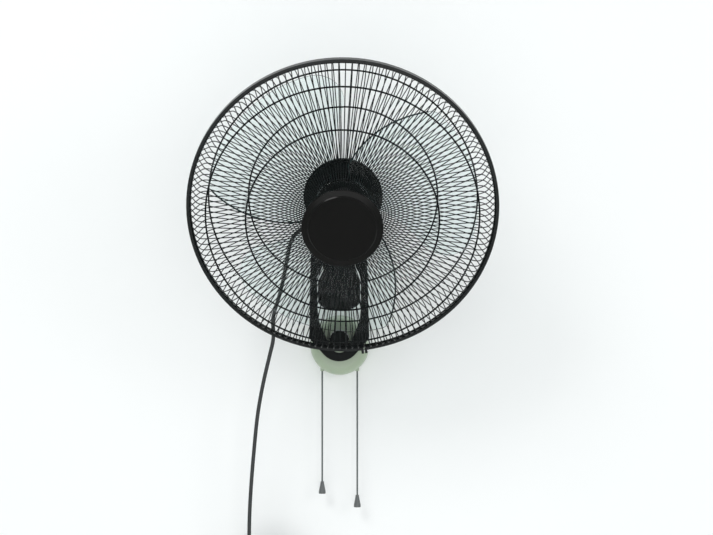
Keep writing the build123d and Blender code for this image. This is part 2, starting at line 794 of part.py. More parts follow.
with BuildPart() as motor_rear_bell:
    turn_ring(stator_back, rear_bell_face, bell_housing_radius, stator_radius - 1)
    turn_ring(rear_bell_face + 4, rear_bell_face, bell_housing_radius, 0)
    turn_ring(rear_boss_front, rear_boss_back, 15, 0)
    turn_ring(rear_boss_front, rear_boss_back + 1.3, bearing_radius, 0, mode=Mode.SUBTRACT)
    with Locations(head.offset(rear_boss_back)):
        with PolarLocations(bracket_screw_circle, 3, start_angle=30):
            Cylinder(bracket_screw_radius, 5, align=BASE, mode=Mode.SUBTRACT)
    with Locations(head.offset(rear_bell_face)):
        with PolarLocations(vent_circle, 6):
            Cylinder(vent_radius, 4, align=BASE, mode=Mode.SUBTRACT)
motor_rear_bell.part.label = "motor_rear_bell"
export_step(motor_rear_bell.part, "parts/motor_rear_bell.step")

with BuildPart() as bracket_screws:
    with Locations(head.offset(web_back - 1.6)):
        with PolarLocations(bracket_screw_circle, 3, start_angle=30):
            Cylinder(2.8, 1.6, align=BASE)
            Cylinder(bracket_screw_radius - 0.03, 1.6 + bracket_thickness + 4, align=BASE)
            Box(screw_slot, 6, screw_slot, align=BASE, mode=Mode.SUBTRACT)
bracket_screws.part.label = "bracket_screws"
export_step(bracket_screws.part, "parts/bracket_screws.step")

with BuildPart() as motor_front_bell:
    turn_ring(front_bell_face, stator_front, bell_housing_radius, stator_radius - 1)
    turn_ring(front_bell_face, front_bell_face - 4, bell_housing_radius, 0)
    turn_ring(front_bell_face + 4, front_boss_back, bearing_radius + 2, 0)
    turn_ring(front_bell_face + 4, front_boss_back, bearing_radius, 0, mode=Mode.SUBTRACT)
    with Locations(head.offset(front_bell_face - 4)):
        with PolarLocations(vent_circle, 6):
            Cylinder(vent_radius, 4, align=BASE, mode=Mode.SUBTRACT)
motor_front_bell.part.label = "motor_front_bell"
export_step(motor_front_bell.part, "parts/motor_front_bell.step")

with BuildPart() as shaft_bushes:
    shaft_hole = shaft_radius + running_gap
    turn_ring(front_bell_face + 4, front_boss_back, bearing_radius, shaft_hole)
    turn_ring(rear_boss_front, rear_boss_back + 1.6, bearing_radius, 0)
    turn_ring(rear_boss_front, rear_boss_back + 1.6, shaft_hole, 0, mode=Mode.SUBTRACT)
shaft_bushes.part.label = "shaft_bushes"
export_step(shaft_bushes.part, "parts/shaft_bushes.step")

slot_depth_left = 4.5  # of the core outside its slots
slot_length = stator_radius - stator_bore - slot_depth_left - 2.0

with BuildPart() as stator_core:
    turn_ring(stator_front, stator_back, stator_radius, stator_bore)
    with Locations(head.offset(stator_back)):
        with PolarLocations(stator_radius - slot_depth_left - slot_length / 2, stator_slots):
            Box(slot_length, 3.4, stator_front - stator_back, align=BASE, mode=Mode.SUBTRACT)
stator_core.part.label = "stator_core"
export_step(stator_core.part, "parts/stator_core.step")

winding_outer = stator_radius - 2.5
winding_inner = stator_bore + 2.6

with BuildPart() as stator_windings:
    turn_ring(stator_front + winding_front, stator_front + 0.1, winding_outer, winding_inner)
    turn_ring(stator_back - 0.1, stator_back - winding_back, winding_outer, winding_inner)
    fillet(stator_windings.edges().filter_by(GeomType.CIRCLE), 2.5)
stator_windings.part.label = "stator_windings"
export_step(stator_windings.part, "parts/stator_windings.step")

with BuildPart() as rotor_core:
    turn_ring(stator_front, stator_back, stator_bore - rotor_gap, 0)
    turn_ring(stator_front + 3.5, stator_back - 3.5, stator_bore - 1.4, 0)
    for end in (stator_front + 0.5, stator_back - 3.5):
        turn_ring(end + 3, end, stator_bore - 7, 0, mode=Mode.SUBTRACT)
    turn_ring(stator_front + 3.5, stator_back - 3.5, shaft_radius, 0, mode=Mode.SUBTRACT)
rotor_core.part.label = "rotor_core"
export_step(rotor_core.part, "parts/rotor_core.step")

pin_gap = 0.04
pin_plane = head.offset(drive_pin_at)
pin_line = Plane(
    origin=pin_plane.from_local_coords((-drive_pin_length / 2, 0, 0)), x_dir=forward, z_dir=right
)

with BuildPart() as motor_shaft:
    turn_ring(shaft_front, shaft_back, shaft_radius, 0)
    chamfer(motor_shaft.edges().filter_by(GeomType.CIRCLE), 0.5)
    bar(pin_line, drive_pin_radius + pin_gap, drive_pin_length, mode=Mode.SUBTRACT)
motor_shaft.part.label = "motor_shaft"
export_step(motor_shaft.part, "parts/motor_shaft.step")

with BuildPart() as drive_pin:
    bar(pin_line, drive_pin_radius, drive_pin_length)
drive_pin.part.label = "drive_pin"
export_step(drive_pin.part, "parts/drive_pin.step")

with BuildPart() as motor_front_cover:
    cover_front_corners = [
        (cover_front, 0),
        (cover_front, cover_radius),
        (cover_joint, cover_radius),
        (cover_joint, 0),
    ]
    revolve(rounded(head_cut, cover_front_corners, [4, 0]), axis=spin_axis)
    inner_radius = cover_radius - cover_wall
    turn_ring(cover_front - cover_wall, cover_joint, inner_radius, 0, mode=Mode.SUBTRACT)
    turn_ring(guard_neck_front, cover_front - 1, guard_neck_radius, 0)
    turn_ring(guard_neck_front, cover_joint, guard_neck_bore, 0, mode=Mode.SUBTRACT)
    with Locations(head.offset(front_bell_face)):
        with PolarLocations(stator_radius - 5, 3, start_angle=90):
            Cylinder(3, cover_front - cover_wall - front_bell_face, align=BASE)
motor_front_cover.part.label = "motor_front_cover"
export_step(motor_front_cover.part, "parts/motor_front_cover.step")

cover_seam = cover_joint - 0.3
cover_screw_radius = 1.5

def cover_shell(inset, front, back):
    """The rear cover's outer or inner form. Its lower side runs level with the motor's axis."""
    with BuildPart() as shell:
        with BuildSketch(head.offset(front)):
            Circle(cover_radius - inset)
        with BuildSketch(shifted(head, y=cover_back_radius - cover_radius, z=back)):
            Circle(cover_back_radius - inset)
        loft()
        back_rim = shell.edges().filter_by(GeomType.CIRCLE).sort_by(Axis(hub_point, forward))[0]
        fillet(back_rim, cover_round - inset)
    return shell.part


with BuildPart() as motor_rear_cover:
    add(cover_shell(0, cover_seam, cover_back))
    add(cover_shell(cover_wall, cover_seam + 1, cover_back + cover_wall), mode=Mode.SUBTRACT)
    turn_ring(web_back - seat_gap, cover_back + 1, 5, 0)
    turn_ring(web_back, cover_back - 1, cover_screw_radius + seat_gap, 0, mode=Mode.SUBTRACT)
    turn_ring(cover_back + 1.6, cover_back - 1, 3.4, 0, mode=Mode.SUBTRACT)
    bar(neck.offset(motor_rise - cover_radius - 1), boss_radius + 2, 20, mode=Mode.SUBTRACT)
    with Locations(shifted(head, y=-2 * (cover_radius - cover_back_radius), z=cover_back - 1)):
        with GridLocations(0, 7, 1, 4):
            Box(26, 3, 5, align=BASE, mode=Mode.SUBTRACT)
motor_rear_cover.part.label = "motor_rear_cover"
export_step(motor_rear_cover.part, "parts/motor_rear_cover.step")

with BuildPart() as rear_cover_screw:
    turn_ring(cover_back + 1.6, cover_back, 3.3, 0)
    turn_ring(web_back - 0.2, cover_back, cover_screw_radius, 0)
    slot_seat = head.offset(cover_back)
    block(slot_seat, (screw_slot, 7, screw_slot), mode=Mode.SUBTRACT)
rear_cover_screw.part.label = "rear_cover_screw"
export_step(rear_cover_screw.part, "parts/rear_cover_screw.step")

capacitor_size = (7.0, 24.0, 30.0)

with BuildPart() as capacitor:
    capacitor_at = bell_housing_radius + seat_gap + capacitor_size[0] / 2
    with Locations(head.offset(stator_back - 9)):
        with PolarLocations(capacitor_at, 1, start_angle=215):
            Box(*capacitor_size, align=BASE)
    long_edges = capacitor.edges().filter_by(lambda edge: abs(edge.length - capacitor_size[2]) < 0.01)
    fillet(long_edges, 1.5)
capacitor.part.label = "capacitor"
export_step(capacitor.part, "parts/capacitor.step")


# ================================================================ blades
def polar(radius, angle):
    """A point on the rim plane, by radius and by angle from the right, counted upwards."""
    return radius * cos(radians(angle)), radius * sin(radians(angle))


with BuildPart() as blade_blank:
    span_angle = 5.5
    out_x, out_y = polar(1, span_angle)
    span_dir = right * out_x + upward * out_y
    chord_dir = upward * out_x - right * out_y
    blade_sections = [
        (14, (-30, -50), (20, -33), (75, -8)),
        (60, (-70, -44), (35, -26), (130, -2)),
        (105, (-120, -39), (10, -22), (160, 4)),
        (150, (-165, -34), (0, -18), (165, 6)),
        (200, (-165, -32), (0, -17), (165, 7)),
    ]
    for span, lead, middle, trail in blade_sections:
        section_plane = Plane(
            origin=hub_point + span_dir * span, x_dir=chord_dir, z_dir=span_dir
        )
        rise = blade_thickness * 0.96
        drift = -blade_thickness * 0.25
        with BuildSketch(section_plane):
            with BuildLine():
                face_arc = ThreePointArc(lead, middle, trail)
                back_points = [(x - drift, y - rise) for x, y in (lead, middle, trail)]
                back_arc = ThreePointArc(*back_points)
                Line(face_arc @ 0, back_arc @ 0)
                Line(face_arc @ 1, back_arc @ 1)
            make_face()
    loft()

root_radius = hub_radius - 4  # inside the hub's wall

with BuildPart() as blade_form:
    with BuildSketch(head.offset(-60)) as blade_plan:
        with BuildLine():
            root_arc = ThreePointArc(polar(root_radius, -12), polar(root_radius, 38), polar(root_radius, 89))
            trail_edge = Spline(polar(root_radius, 89), polar(76, 79), polar(116, 69), polar(blade_tip_radius, 49))
            tip_arc = ThreePointArc(polar(blade_tip_radius, 49), polar(blade_tip_radius, span_angle), polar(blade_tip_radius, -38))
            lead_edge = Spline(polar(blade_tip_radius, -38), polar(120, -27), polar(70, -18), polar(root_radius, -12))
        make_face()
        fillet(blade_plan.vertices().sort_by(Axis.Y)[-1], 18)
        fillet(blade_plan.vertices().sort_by(Axis.Y)[0], 40)
    extrude(blade_plan.sketch, amount=90)
    add(blade_blank.part, mode=Mode.INTERSECT)

with BuildPart() as fan_blades:
    turn_ring(hub_front, hub_back, hub_radius, 0)
    front_circle = fan_blades.edges().filter_by(GeomType.CIRCLE)
    fillet(front_circle.sort_by(Axis(hub_point, forward))[-1], 5)
    for turn in range(blade_count):
        add(blade_form.part.rotate(spin_axis, turn * 360 / blade_count))
    hub_hollow = hub_radius - hub_wall
    turn_ring(hub_front - hub_wall, hub_back - 1, hub_hollow, 0, mode=Mode.SUBTRACT)
    turn_ring(hub_front - 1, hub_back + 6, hub_boss_radius, 0)
    turn_ring(hub_front + 1, hub_back, shaft_radius + 0.02, 0, mode=Mode.SUBTRACT)
    pin_slot = shifted(head, z=hub_back)
    slot_depth = drive_pin_at + drive_pin_radius + pin_gap - hub_back
    slot_width = 2 * (drive_pin_radius + pin_gap)
    block(pin_slot, (2 * hub_boss_radius, slot_width, slot_depth), mode=Mode.SUBTRACT)
fan_blades.part.label = "fan_blades"
export_step(fan_blades.part, "parts/fan_blades.step")

with BuildPart() as blade_nut:
    nut_back = hub_front + 0.1
    turn_ring(nut_back + 3, nut_back, spinner_radius, 0)
    turn_ring(nut_back + spinner_length - 1, nut_back, spinner_radius - 3.5, 0)
    fillet(blade_nut.edges().filter_by(GeomType.CIRCLE).sort_by(Axis(hub_point, forward))[-1], 3)
    with Locations(head.offset(nut_back + 3)):
        with PolarLocations(spinner_radius - 3.5, 8):
            Cylinder(1.5, spinner_length, align=BASE, mode=Mode.SUBTRACT)
    turn_ring(shaft_front + 0.5, nut_back, shaft_radius + 0.02, 0, mode=Mode.SUBTRACT)
blade_nut.part.label = "blade_nut"
export_step(blade_nut.part, "parts/blade_nut.step")


# ================================================================ guard
def wire(points, radii):
    """One guard wire, bent to follow the (forward, radius) points in a plane through the axis."""
    with BuildPart() as bent_wire:
        with BuildLine(head_cut) as route:
            FilletPolyline(*points, radius=radii)
        with BuildSketch(facing(route.wire() @ 0, route.wire() % 0)) as section:
            Circle(wire_radius)
        sweep(section.sketch, path=route.wire())
    return bent_wire.part


def all_round(one_wire):
    """Copies of the wire all round the guard."""
    step = 360 / guard_wires
    return [one_wire.rotate(spin_axis, (turn + 0.5) * step) for turn in range(guard_wires)]


def ring_under(start, end, radius):
    """A ring inside the wires, where they run from start to end, each a (radius, forward) pair."""
    run = Vector(end[0] - start[0], end[1] - start[1])
    inward = Vector(run.Y, -run.X) if start[1] < 0 else Vector(-run.Y, run.X)
    inward = inward.normalized() * (wire_radius + ring_radius + 0.02)
    along = (radius - start[0]) / run.X
    level = start[1] + run.Y * along + inward.Y
    with BuildPart() as welded_ring:
        with Locations(head.offset(level)):
            Torus(radius + inward.X, ring_radius)
    return welded_ring.part


def rim_ring(level):
    """The ring that the outer ends of the wires stand on."""
    with BuildPart() as rim:
        with Locations(head.offset(level)):
            Torus(rim_radius, rim_wire_radius)
    return rim.part


def wire_start(level, shoulder):
    """Where a wire meets the rim ring, as (forward, radius), just clear of the ring."""
    run = Vector(shoulder[0] - rim_radius, shoulder[1] - level).normalized()
    reach = rim_wire_radius + 0.1
    return level + run.Y * reach, rim_radius + run.X * reach


front_wire = wire(
    [
        wire_start(rim_offset, front_shoulder),
        (front_shoulder[1], front_shoulder[0]),
        (front_hub[1], front_hub[0]),
        (front_hub[1], wire_end_radius),
    ],
    [shoulder_round, hub_round],
)
rear_wire = wire(
    [
        wire_start(-rim_offset, rear_shoulder),
        (rear_shoulder[1], rear_shoulder[0]),
        (rear_bend[1], rear_bend[0]),
        (rear_hub[1], rear_hub[0]),
    ],
    [shoulder_round - 4, bend_round],
)

badge_seat = front_hub[1] + wire_radius + 0.2
front_plate_face = front_hub[1] - wire_radius - 0.1
badge_screw_places = [polar(badge_screw_circle, angle) for angle in (90, 210, 330)]

with BuildPart() as front_plate:
    turn_ring(front_plate_face, front_plate_face - guard_plate_thickness, badge_plate_radius, 34)
    for x, y in badge_screw_places:
        bar(shifted(head, x=x, y=y, z=front_plate_face - 3), 1.6, 4, mode=Mode.SUBTRACT)

with BuildPart() as rear_plate:
    plate_front = cover_front + guard_plate_thickness
    turn_ring(plate_front, cover_front, badge_radius + 1, guard_neck_radius + seat_gap)

front_rings_made = [ring_under(front_shoulder, front_hub, radius) for radius in front_rings]
rear_rings_made = [
    ring_under(rear_shoulder, rear_bend, rear_rings[1]),
    ring_under(rear_bend, rear_hub, rear_rings[0]),
]
front_guard = Compound(
    label="front_guard",
    children=[front_plate.part, rim_ring(rim_offset), *front_rings_made, *all_round(front_wire)],
)
export_step(front_guard, "parts/front_guard.step")
rear_guard = Compound(
    label="rear_guard",
    children=[rear_plate.part, rim_ring(-rim_offset), *rear_rings_made, *all_round(rear_wire)],
)
export_step(rear_guard, "parts/rear_guard.step")

with BuildPart() as guard_nut:
    nut_low = plate_front + seat_gap
    skirt_low = rear_hub[1] + wire_radius + seat_gap
    nut_high = nut_low + guard_nut_thickness
    turn_ring(nut_high, skirt_low, guard_nut_radius, 0)
    turn_ring(nut_high, nut_low, wire_end_radius - 1, 0)
    with Locations(head.offset(nut_high - 1)):
        with PolarLocations(guard_nut_radius, 24):
            Cylinder(1.6, 3, align=BASE, mode=Mode.SUBTRACT)
        with PolarLocations(35, 6):
            Box(22, 2, 2, align=BASE)
    turn_ring(nut_high + 1.5, nut_low, guard_neck_radius + seat_gap, 0, mode=Mode.SUBTRACT)
guard_nut.part.label = "guard_nut"
export_step(guard_nut.part, "parts/guard_nut.step")

lug_angle = -82.0
lug_height = 6.4
lug_plane = Plane(
    origin=head.from_local_coords((*polar(band_radius - 1, lug_angle), 0)),
    x_dir=right * -sin(radians(lug_angle)) + upward * cos(radians(lug_angle)),
    z_dir=right * cos(radians(lug_angle)) + upward * sin(radians(lug_angle)),
)

with BuildPart() as guard_rim_band:
    turn_ring(band_half_width, -band_half_width, band_radius, 0)
    channel = band_half_width - band_wall
    inner_band = band_radius - 2.4
    turn_ring(channel, -channel, inner_band, 0, mode=Mode.SUBTRACT)
    turn_ring(band_half_width, -band_half_width, inner_band - 1.9, 0, mode=Mode.SUBTRACT)
    block(lug_plane, (9, 2 * band_half_width, lug_height))
    block(lug_plane.offset(-6), (1.5, 3 * band_half_width, 14), mode=Mode.SUBTRACT)
    screw_line = Plane(
        origin=lug_plane.from_local_coords((-5, 0, 3.9)), x_dir=forward, z_dir=lug_plane.x_dir
    )
    bar(screw_line, 1.6, 10, mode=Mode.SUBTRACT)
guard_rim_band.part.label = "guard_rim_band"
export_step(guard_rim_band.part, "parts/guard_rim_band.step")

with BuildPart() as rim_screw:
    screw(screw_line.offset(9.55), 2.8, 1.8, 1.5, 9)
rim_screw.part.label = "rim_screw"
export_step(rim_screw.part, "parts/rim_screw.step")

badge_face = badge_seat + badge_thickness
step_foot = badge_face + badge_border_rise
step_radius = badge_radius - badge_border
field_face = step_foot + badge_step_rise

with BuildPart() as badge:
    badge_profile = rounded(
        head_cut,
        [
            (badge_seat, 0),
            (badge_seat, badge_radius),
            (badge_face, badge_radius),
            (step_foot, step_radius),
            (field_face, step_radius - badge_step_width),
            (field_face, 0),
        ],
        [0.4, 1.2, 0.3, 0.4],
    )
    revolve(badge_profile, axis=spin_axis)
    for x, y in badge_screw_places:
        boss_foot = shifted(head, x=x, y=y, z=front_plate_face + 0.05)
        bar(boss_foot, 3.5, badge_seat - front_plate_face)
        bar(boss_foot, 1.55, 2.5, mode=Mode.SUBTRACT)
badge.part.label = "badge"
export_step(badge.part, "parts/badge.step")

with BuildPart() as badge_screws:
    for x, y in badge_screw_places:
        rear_seat = shifted(head, x=x, y=y, z=front_plate_face - guard_plate_thickness)
        screw_seat = Plane(origin=rear_seat.origin, x_dir=right, z_dir=-forward)
        screw(screw_seat, 2.8, 1.6, 1.5, 3.4)
badge_screws.part.label = "badge_screws"
export_step(badge_screws.part, "parts/badge_screws.step")


# ================================================================ mains lead
def soft_bends(points):
    """Bend radii that use 0.45 of the shorter run at each corner."""
    radii = []
    for before, corner, after in zip(points, points[1:], points[2:]):
        run_in = corner - before
        run_out = after - corner
        half_turn = radians(run_in.get_angle(run_out)) / 2
        radii.append(0.45 * min(run_in.length, run_out.length) / tan(half_turn))
    return radii


gland_end = gland_seat.from_local_coords((0, 0, gland_start + gland_length))
coil_start = Vector(-141.2, -64.3, -345)
lead_points = [
    gland_end,
    Vector(-46.0, gland_end.Y, gland_end.Z),
    Vector(-58.0, -134.6, 182.2),
    Vector(-67.8, -128.3, 173.5),
    Vector(-74.8, -121.0, 160.0),
    Vector(-79.7, -112.5, 137.0),
    Vector(-85.5, -97.5, 107.0),
    Vector(-93.7, -85.0, 76.0),
    Vector(-104.4, -81.5, 45.0),
    Vector(-100.8, -81.5, 17.0),
    Vector(-108.5, -80.5, -14.0),
    Vector(-119.0, -79.5, -58.0),
    Vector(-127.5, -78.0, -106.0),
    Vector(-132.5, -75.0, -157.0),
    Vector(-137.2, -70.2, -209.0),
    Vector(-140.3, -66.3, -258.0),
    Vector(-141.2, -64.3, -302.0),
    coil_start,
]
lead_bends = soft_bends(lead_points)
print("lead bend radii", [round(radius) for radius in lead_bends])

with BuildPart() as power_cord:
    with BuildLine() as lead_route:
        FilletPolyline(*lead_points, radius=lead_bends)
    with BuildSketch(facing(lead_points[0], (-1, 0, 0))) as lead_section:
        Circle(cord_radius)
    sweep(lead_section.sketch, path=lead_route.wire())
power_cord.part.label = "power_cord"
export_step(power_cord.part, "parts/power_cord.step")
cord_area = pi * cord_radius**2
lead_length = lead_route.wire().length
print("lead length", round(lead_length), "volume ratio", power_cord.part.volume / lead_length / cord_area)

coil_steps = [coil_radius - step * coil_pitch / 2 for step in range(coil_half_turns)]
climb_radius = coil_radius - coil_half_turns * coil_pitch / 2
coil_radii = coil_steps + [climb_radius] + coil_steps[:0:-1]

with BuildPart() as power_cord_coil:
    with BuildLine() as coil_route:
        here = coil_start
        for step, radius in enumerate(coil_radii):
            sideways = 1 if step % 2 == 0 else -1
            climb = -coil_pitch if step == coil_half_turns else 0
            there = here + Vector(sideways * 2 * radius, climb, 0)
            half = (there - here).length / 2
            top = (here + there) * 0.5 + Vector(0, 0, -sideways * half)
            ThreePointArc(here, top, there)
            here = there
        Line(here, here - Vector(0, 0, tail_length))
    with BuildSketch(facing(coil_start, (0, 0, -1))) as coil_section:
        Circle(cord_radius)
    sweep(coil_section.sketch, path=coil_route.wire())
power_cord_coil.part.label = "power_cord_coil"
export_step(power_cord_coil.part, "parts/power_cord_coil.step")
coil_length = coil_route.wire().length
coil_ratio = power_cord_coil.part.volume / coil_length / cord_area
print("coil length", round(coil_length), "volume ratio", coil_ratio)

samples = 1600
route_points = [coil_route.wire() @ (step / samples) for step in range(samples + 1)]
apart = round(5 * cord_radius / coil_length * samples)
gaps = [
    (route_points[i] - route_points[k]).length
    for i in range(samples)
    for k in range(i + apart, samples + 1)
]
print("coil self gap", round(min(gaps) - 2 * cord_radius, 2))

plug_top = here - Vector(0, 0, tail_length)
plug_seat = Plane(origin=plug_top, x_dir=(1, 0, 0), z_dir=(0, 0, -1))

with BuildPart() as plug_body:
    with Locations(plug_seat):
        Cone(cord_radius + 0.6, cord_radius + 3.5, relief_length + 2, align=BASE)
    with BuildSketch(plug_seat.offset(relief_length)) as plug_shoulder:
        RectangleRounded(plug_size[0] - 14, plug_size[1] - 1, 5)
    with BuildSketch(plug_seat.offset(relief_length + plug_size[2] * 0.45)) as plug_waist:
        RectangleRounded(plug_size[0], plug_size[1], 5)
    loft([plug_shoulder.sketch, plug_waist.sketch])
    extrude(plug_waist.sketch, amount=plug_size[2] * 0.55)
plug_body.part.label = "plug_body"
export_step(plug_body.part, "parts/plug_body.step")

with BuildPart() as plug_pins:
    for side in (-1, 1):
        pin_seat = shifted(plug_seat, x=side * plug_pin_spacing / 2, z=relief_length + plug_size[2])
        bar(pin_seat, plug_pin_radius, plug_pin_length)
    fillet(plug_pins.edges().filter_by(GeomType.CIRCLE).group_by(Axis.Z)[0], 1)
plug_pins.part.label = "plug_pins"
export_step(plug_pins.part, "parts/plug_pins.step")

with BuildPart() as cord_tie:
    inner_strand = coil_start.X + 2 * coil_radius - coil_half_turns * coil_pitch / 2
    outer_strand = coil_start.X + 2 * coil_radius
    tie_middle = Vector((inner_strand + outer_strand) / 2, coil_start.Y - coil_pitch / 2, coil_start.Z)
    tie_size = (outer_strand - inner_strand + 2 * cord_radius + 0.6, coil_pitch + 2 * cord_radius + 0.6)
    tie_seat = Plane(origin=tie_middle - Vector(0, 0, tie_width / 2), x_dir=(1, 0, 0), z_dir=(0, 0, 1))
    with BuildSketch(tie_seat) as tie_face:
        RectangleRounded(tie_size[0] + 2 * tie_wall, tie_size[1] + 2 * tie_wall, 3 + tie_wall)
        RectangleRounded(tie_size[0], tie_size[1], 3, mode=Mode.SUBTRACT)
    extrude(tie_face.sketch, amount=tie_width)
cord_tie.part.label = "cord_tie"
export_step(cord_tie.part, "parts/cord_tie.step")
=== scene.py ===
from math import cos, pi, radians, sin

import bmesh
import bpy
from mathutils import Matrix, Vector


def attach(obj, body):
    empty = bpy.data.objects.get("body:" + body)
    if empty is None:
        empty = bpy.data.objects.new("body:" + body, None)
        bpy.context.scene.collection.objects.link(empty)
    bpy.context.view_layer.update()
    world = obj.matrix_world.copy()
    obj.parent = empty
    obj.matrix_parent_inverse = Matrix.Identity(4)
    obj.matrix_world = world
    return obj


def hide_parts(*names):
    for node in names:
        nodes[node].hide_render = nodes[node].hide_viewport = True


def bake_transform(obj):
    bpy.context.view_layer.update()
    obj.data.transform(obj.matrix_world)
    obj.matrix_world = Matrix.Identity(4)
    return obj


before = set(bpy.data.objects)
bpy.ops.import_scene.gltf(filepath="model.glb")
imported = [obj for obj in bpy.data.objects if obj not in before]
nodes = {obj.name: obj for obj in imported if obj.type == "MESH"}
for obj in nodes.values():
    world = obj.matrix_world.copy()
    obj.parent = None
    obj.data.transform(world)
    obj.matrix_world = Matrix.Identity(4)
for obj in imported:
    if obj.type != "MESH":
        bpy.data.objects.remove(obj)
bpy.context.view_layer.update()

bl_info = {
    "name": "Wall fan",
    "version": (1, 0, 0),
    "blender": (4, 5, 0),
    "location": "View3D > Sidebar > Wall fan",
    "description": "Finishes, leads and studio for a wall mounted fan",
    "category": "Object",
}

MM = 0.001
HEAD_TILT = radians(23.4)
FAN_AXIS = (0, -cos(HEAD_TILT), -sin(HEAD_TILT))
SMOOTH_ANGLE = radians(50)
MERGE_DISTANCE = 1e-6
WHITE = (1.0, 1.0, 1.0, 1.0)


# ------------------------------------------------------------------ settings
def colour(name, description, default):
    """A colour setting."""
    return bpy.props.FloatVectorProperty(
        name=name, description=description, default=default, subtype="COLOR", size=3, min=0, max=1
    )


class FanFinish(bpy.types.PropertyGroup):
    """Colours of the fan's own surfaces, and the near black painted shade on the blades' edges."""

    shell: colour("Base shell", "Moulded cover of the wall base", (0.345, 0.425, 0.305))
    black: colour("Black plastic", "Arm, barrel, covers and knobs", (0.004, 0.0055, 0.0055))
    badge: colour("Badge", "Gloss disc in the middle of the guard", (0.0015, 0.0015, 0.0012))
    wire: colour("Guard wire", "Coated wire of both guards", (0.005, 0.007, 0.007))
    rim: colour("Guard rim", "Band that holds the two guards", (0.005, 0.007, 0.007))
    blade: colour("Blades", "Clear plastic of the blades", (0.925, 0.98, 0.975))
    # painted shade: the blades are clear plastic, and this near black on their edges stands in for
    # the dark line that light makes along a clear edge
    blade_edge_shade: colour("Blade edges", "Thicker edge of each blade", (0.012, 0.026, 0.026))
    lead: colour("Mains lead", "Jacket of the mains lead", (0.018, 0.022, 0.022))
    pull: colour("Pull cord", "Braid of the pull cords", (0.10, 0.115, 0.115))
    bell: colour("Pull bell", "Turned bell on each pull cord", (0.10, 0.11, 0.11))


class FanCords(bpy.types.PropertyGroup):
    """Sizes of the cords."""

    lead_diameter: bpy.props.FloatProperty(
        name="Lead diameter", description="Of the mains lead", default=0.006, unit="LENGTH"
    )
    pull_diameter: bpy.props.FloatProperty(
        name="Pull cord diameter", description="Of each pull cord", default=0.0026, unit="LENGTH"
    )
    braid_pitch: bpy.props.FloatProperty(
        name="Braid pitch",
        description="Of one carrier of the braid",
        default=0.0022,
        unit="LENGTH",
    )


class FanStage(bpy.types.PropertyGroup):
    """Camera and light."""

    camera_across: bpy.props.FloatProperty(
        name="Camera across", description="To the right of the fan", default=0.0266, unit="LENGTH"
    )
    camera_out: bpy.props.FloatProperty(
        name="Camera distance", description="Out from the wall", default=2.47, unit="LENGTH"
    )
    camera_height: bpy.props.FloatProperty(
        name="Camera height", description="Above the wall plate", default=0.124, unit="LENGTH"
    )
    camera_lens: bpy.props.FloatProperty(
        name="Lens", description="Focal length on a 36 mm sensor", default=77.8, unit="CAMERA"
    )
    key_light: bpy.props.FloatProperty(
        name="Key light", description="Power of the key light", default=25.5, min=0, unit="POWER"
    )
    fill_light: bpy.props.FloatProperty(
        name="Room light", description="Strength of the room's own light", default=0.68, min=0
    )
    wall_opening: bpy.props.FloatProperty(
        name="Wall opening", description="Radius behind the plate", default=0.046, unit="LENGTH"
    )
    wall_colour: colour("Wall", "Plain pale wall", (0.925, 0.942, 0.936))
    floor_colour: colour("Floor", "Plain pale floor", (0.90, 0.90, 0.89))


# ------------------------------------------------------------------ shader building
FLOAT = "NodeSocketFloat"
COLOUR = "NodeSocketColor"
VECTOR = "NodeSocketVector"


def add_node(tree, kind, values=None, **settings):
    """A node with its settings made, and its inputs set or linked by name or number."""
    node = tree.nodes.new(kind)
    for name, value in settings.items():
        setattr(node, name, value)
    for place, value in (values or {}).items():
        if isinstance(value, bpy.types.NodeSocket):
            tree.links.new(value, node.inputs[place])
        else:
            node.inputs[place].default_value = value
    return node


def noise(tree, where, scale, detail):
    """Cloudy noise at the place given."""
    values = {"Vector": where, "Scale": scale, "Detail": detail}
    return add_node(tree, "ShaderNodeTexNoise", values).outputs["Fac"]


def rescale(tree, value, band, spread=(0.0, 1.0)):
    """The value taken from one range to another, and held within it."""
    values = {
        "Value": value,
        "From Min": band[0],
        "From Max": band[1],
        "To Min": spread[0],
        "To Max": spread[1],
    }
    return add_node(tree, "ShaderNodeMapRange", values).outputs["Result"]


def compute(tree, operation, first, second=0.0, clamp=False):
    """One step of arithmetic on sockets or plain numbers."""
    values = {0: first, 1: second}
    node = add_node(tree, "ShaderNodeMath", values, operation=operation, use_clamp=clamp)
    return node.outputs["Value"]


def mix_colours(tree, factor, first, second):
    """From the first colour to the second by the factor."""
    values = {"Factor": factor, "A": first, "B": second}
    return add_node(tree, "ShaderNodeMix", values, data_type="RGBA").outputs["Result"]


def relief(tree, height, strength, depth):
    """The normal of a surface with this height, over a depth in metres."""
    values = {"Height": height, "Strength": strength, "Distance": depth}
    return add_node(tree, "ShaderNodeBump", values).outputs["Normal"]


def new_group(name, inputs, outputs):
    """An empty node group, the values it is given and the places for what it makes."""
    group = bpy.data.node_groups.new(name, "ShaderNodeTree")
    for label, (kind, default) in inputs.items():
        made = group.interface.new_socket(name=label, in_out="INPUT", socket_type=kind)
        if default is not None:
            made.default_value = default
    for label, kind in outputs.items():
        group.interface.new_socket(name=label, in_out="OUTPUT", socket_type=kind)
    given = add_node(group, "NodeGroupInput").outputs
    wanted = add_node(group, "NodeGroupOutput").inputs
    return group, given, wanted


CLOUD_DETAIL = 4
GRAIN_DETAIL = 2
TONE_BAND = (0.35, 0.65)
GLOSS_BAND = (0.3, 0.7)


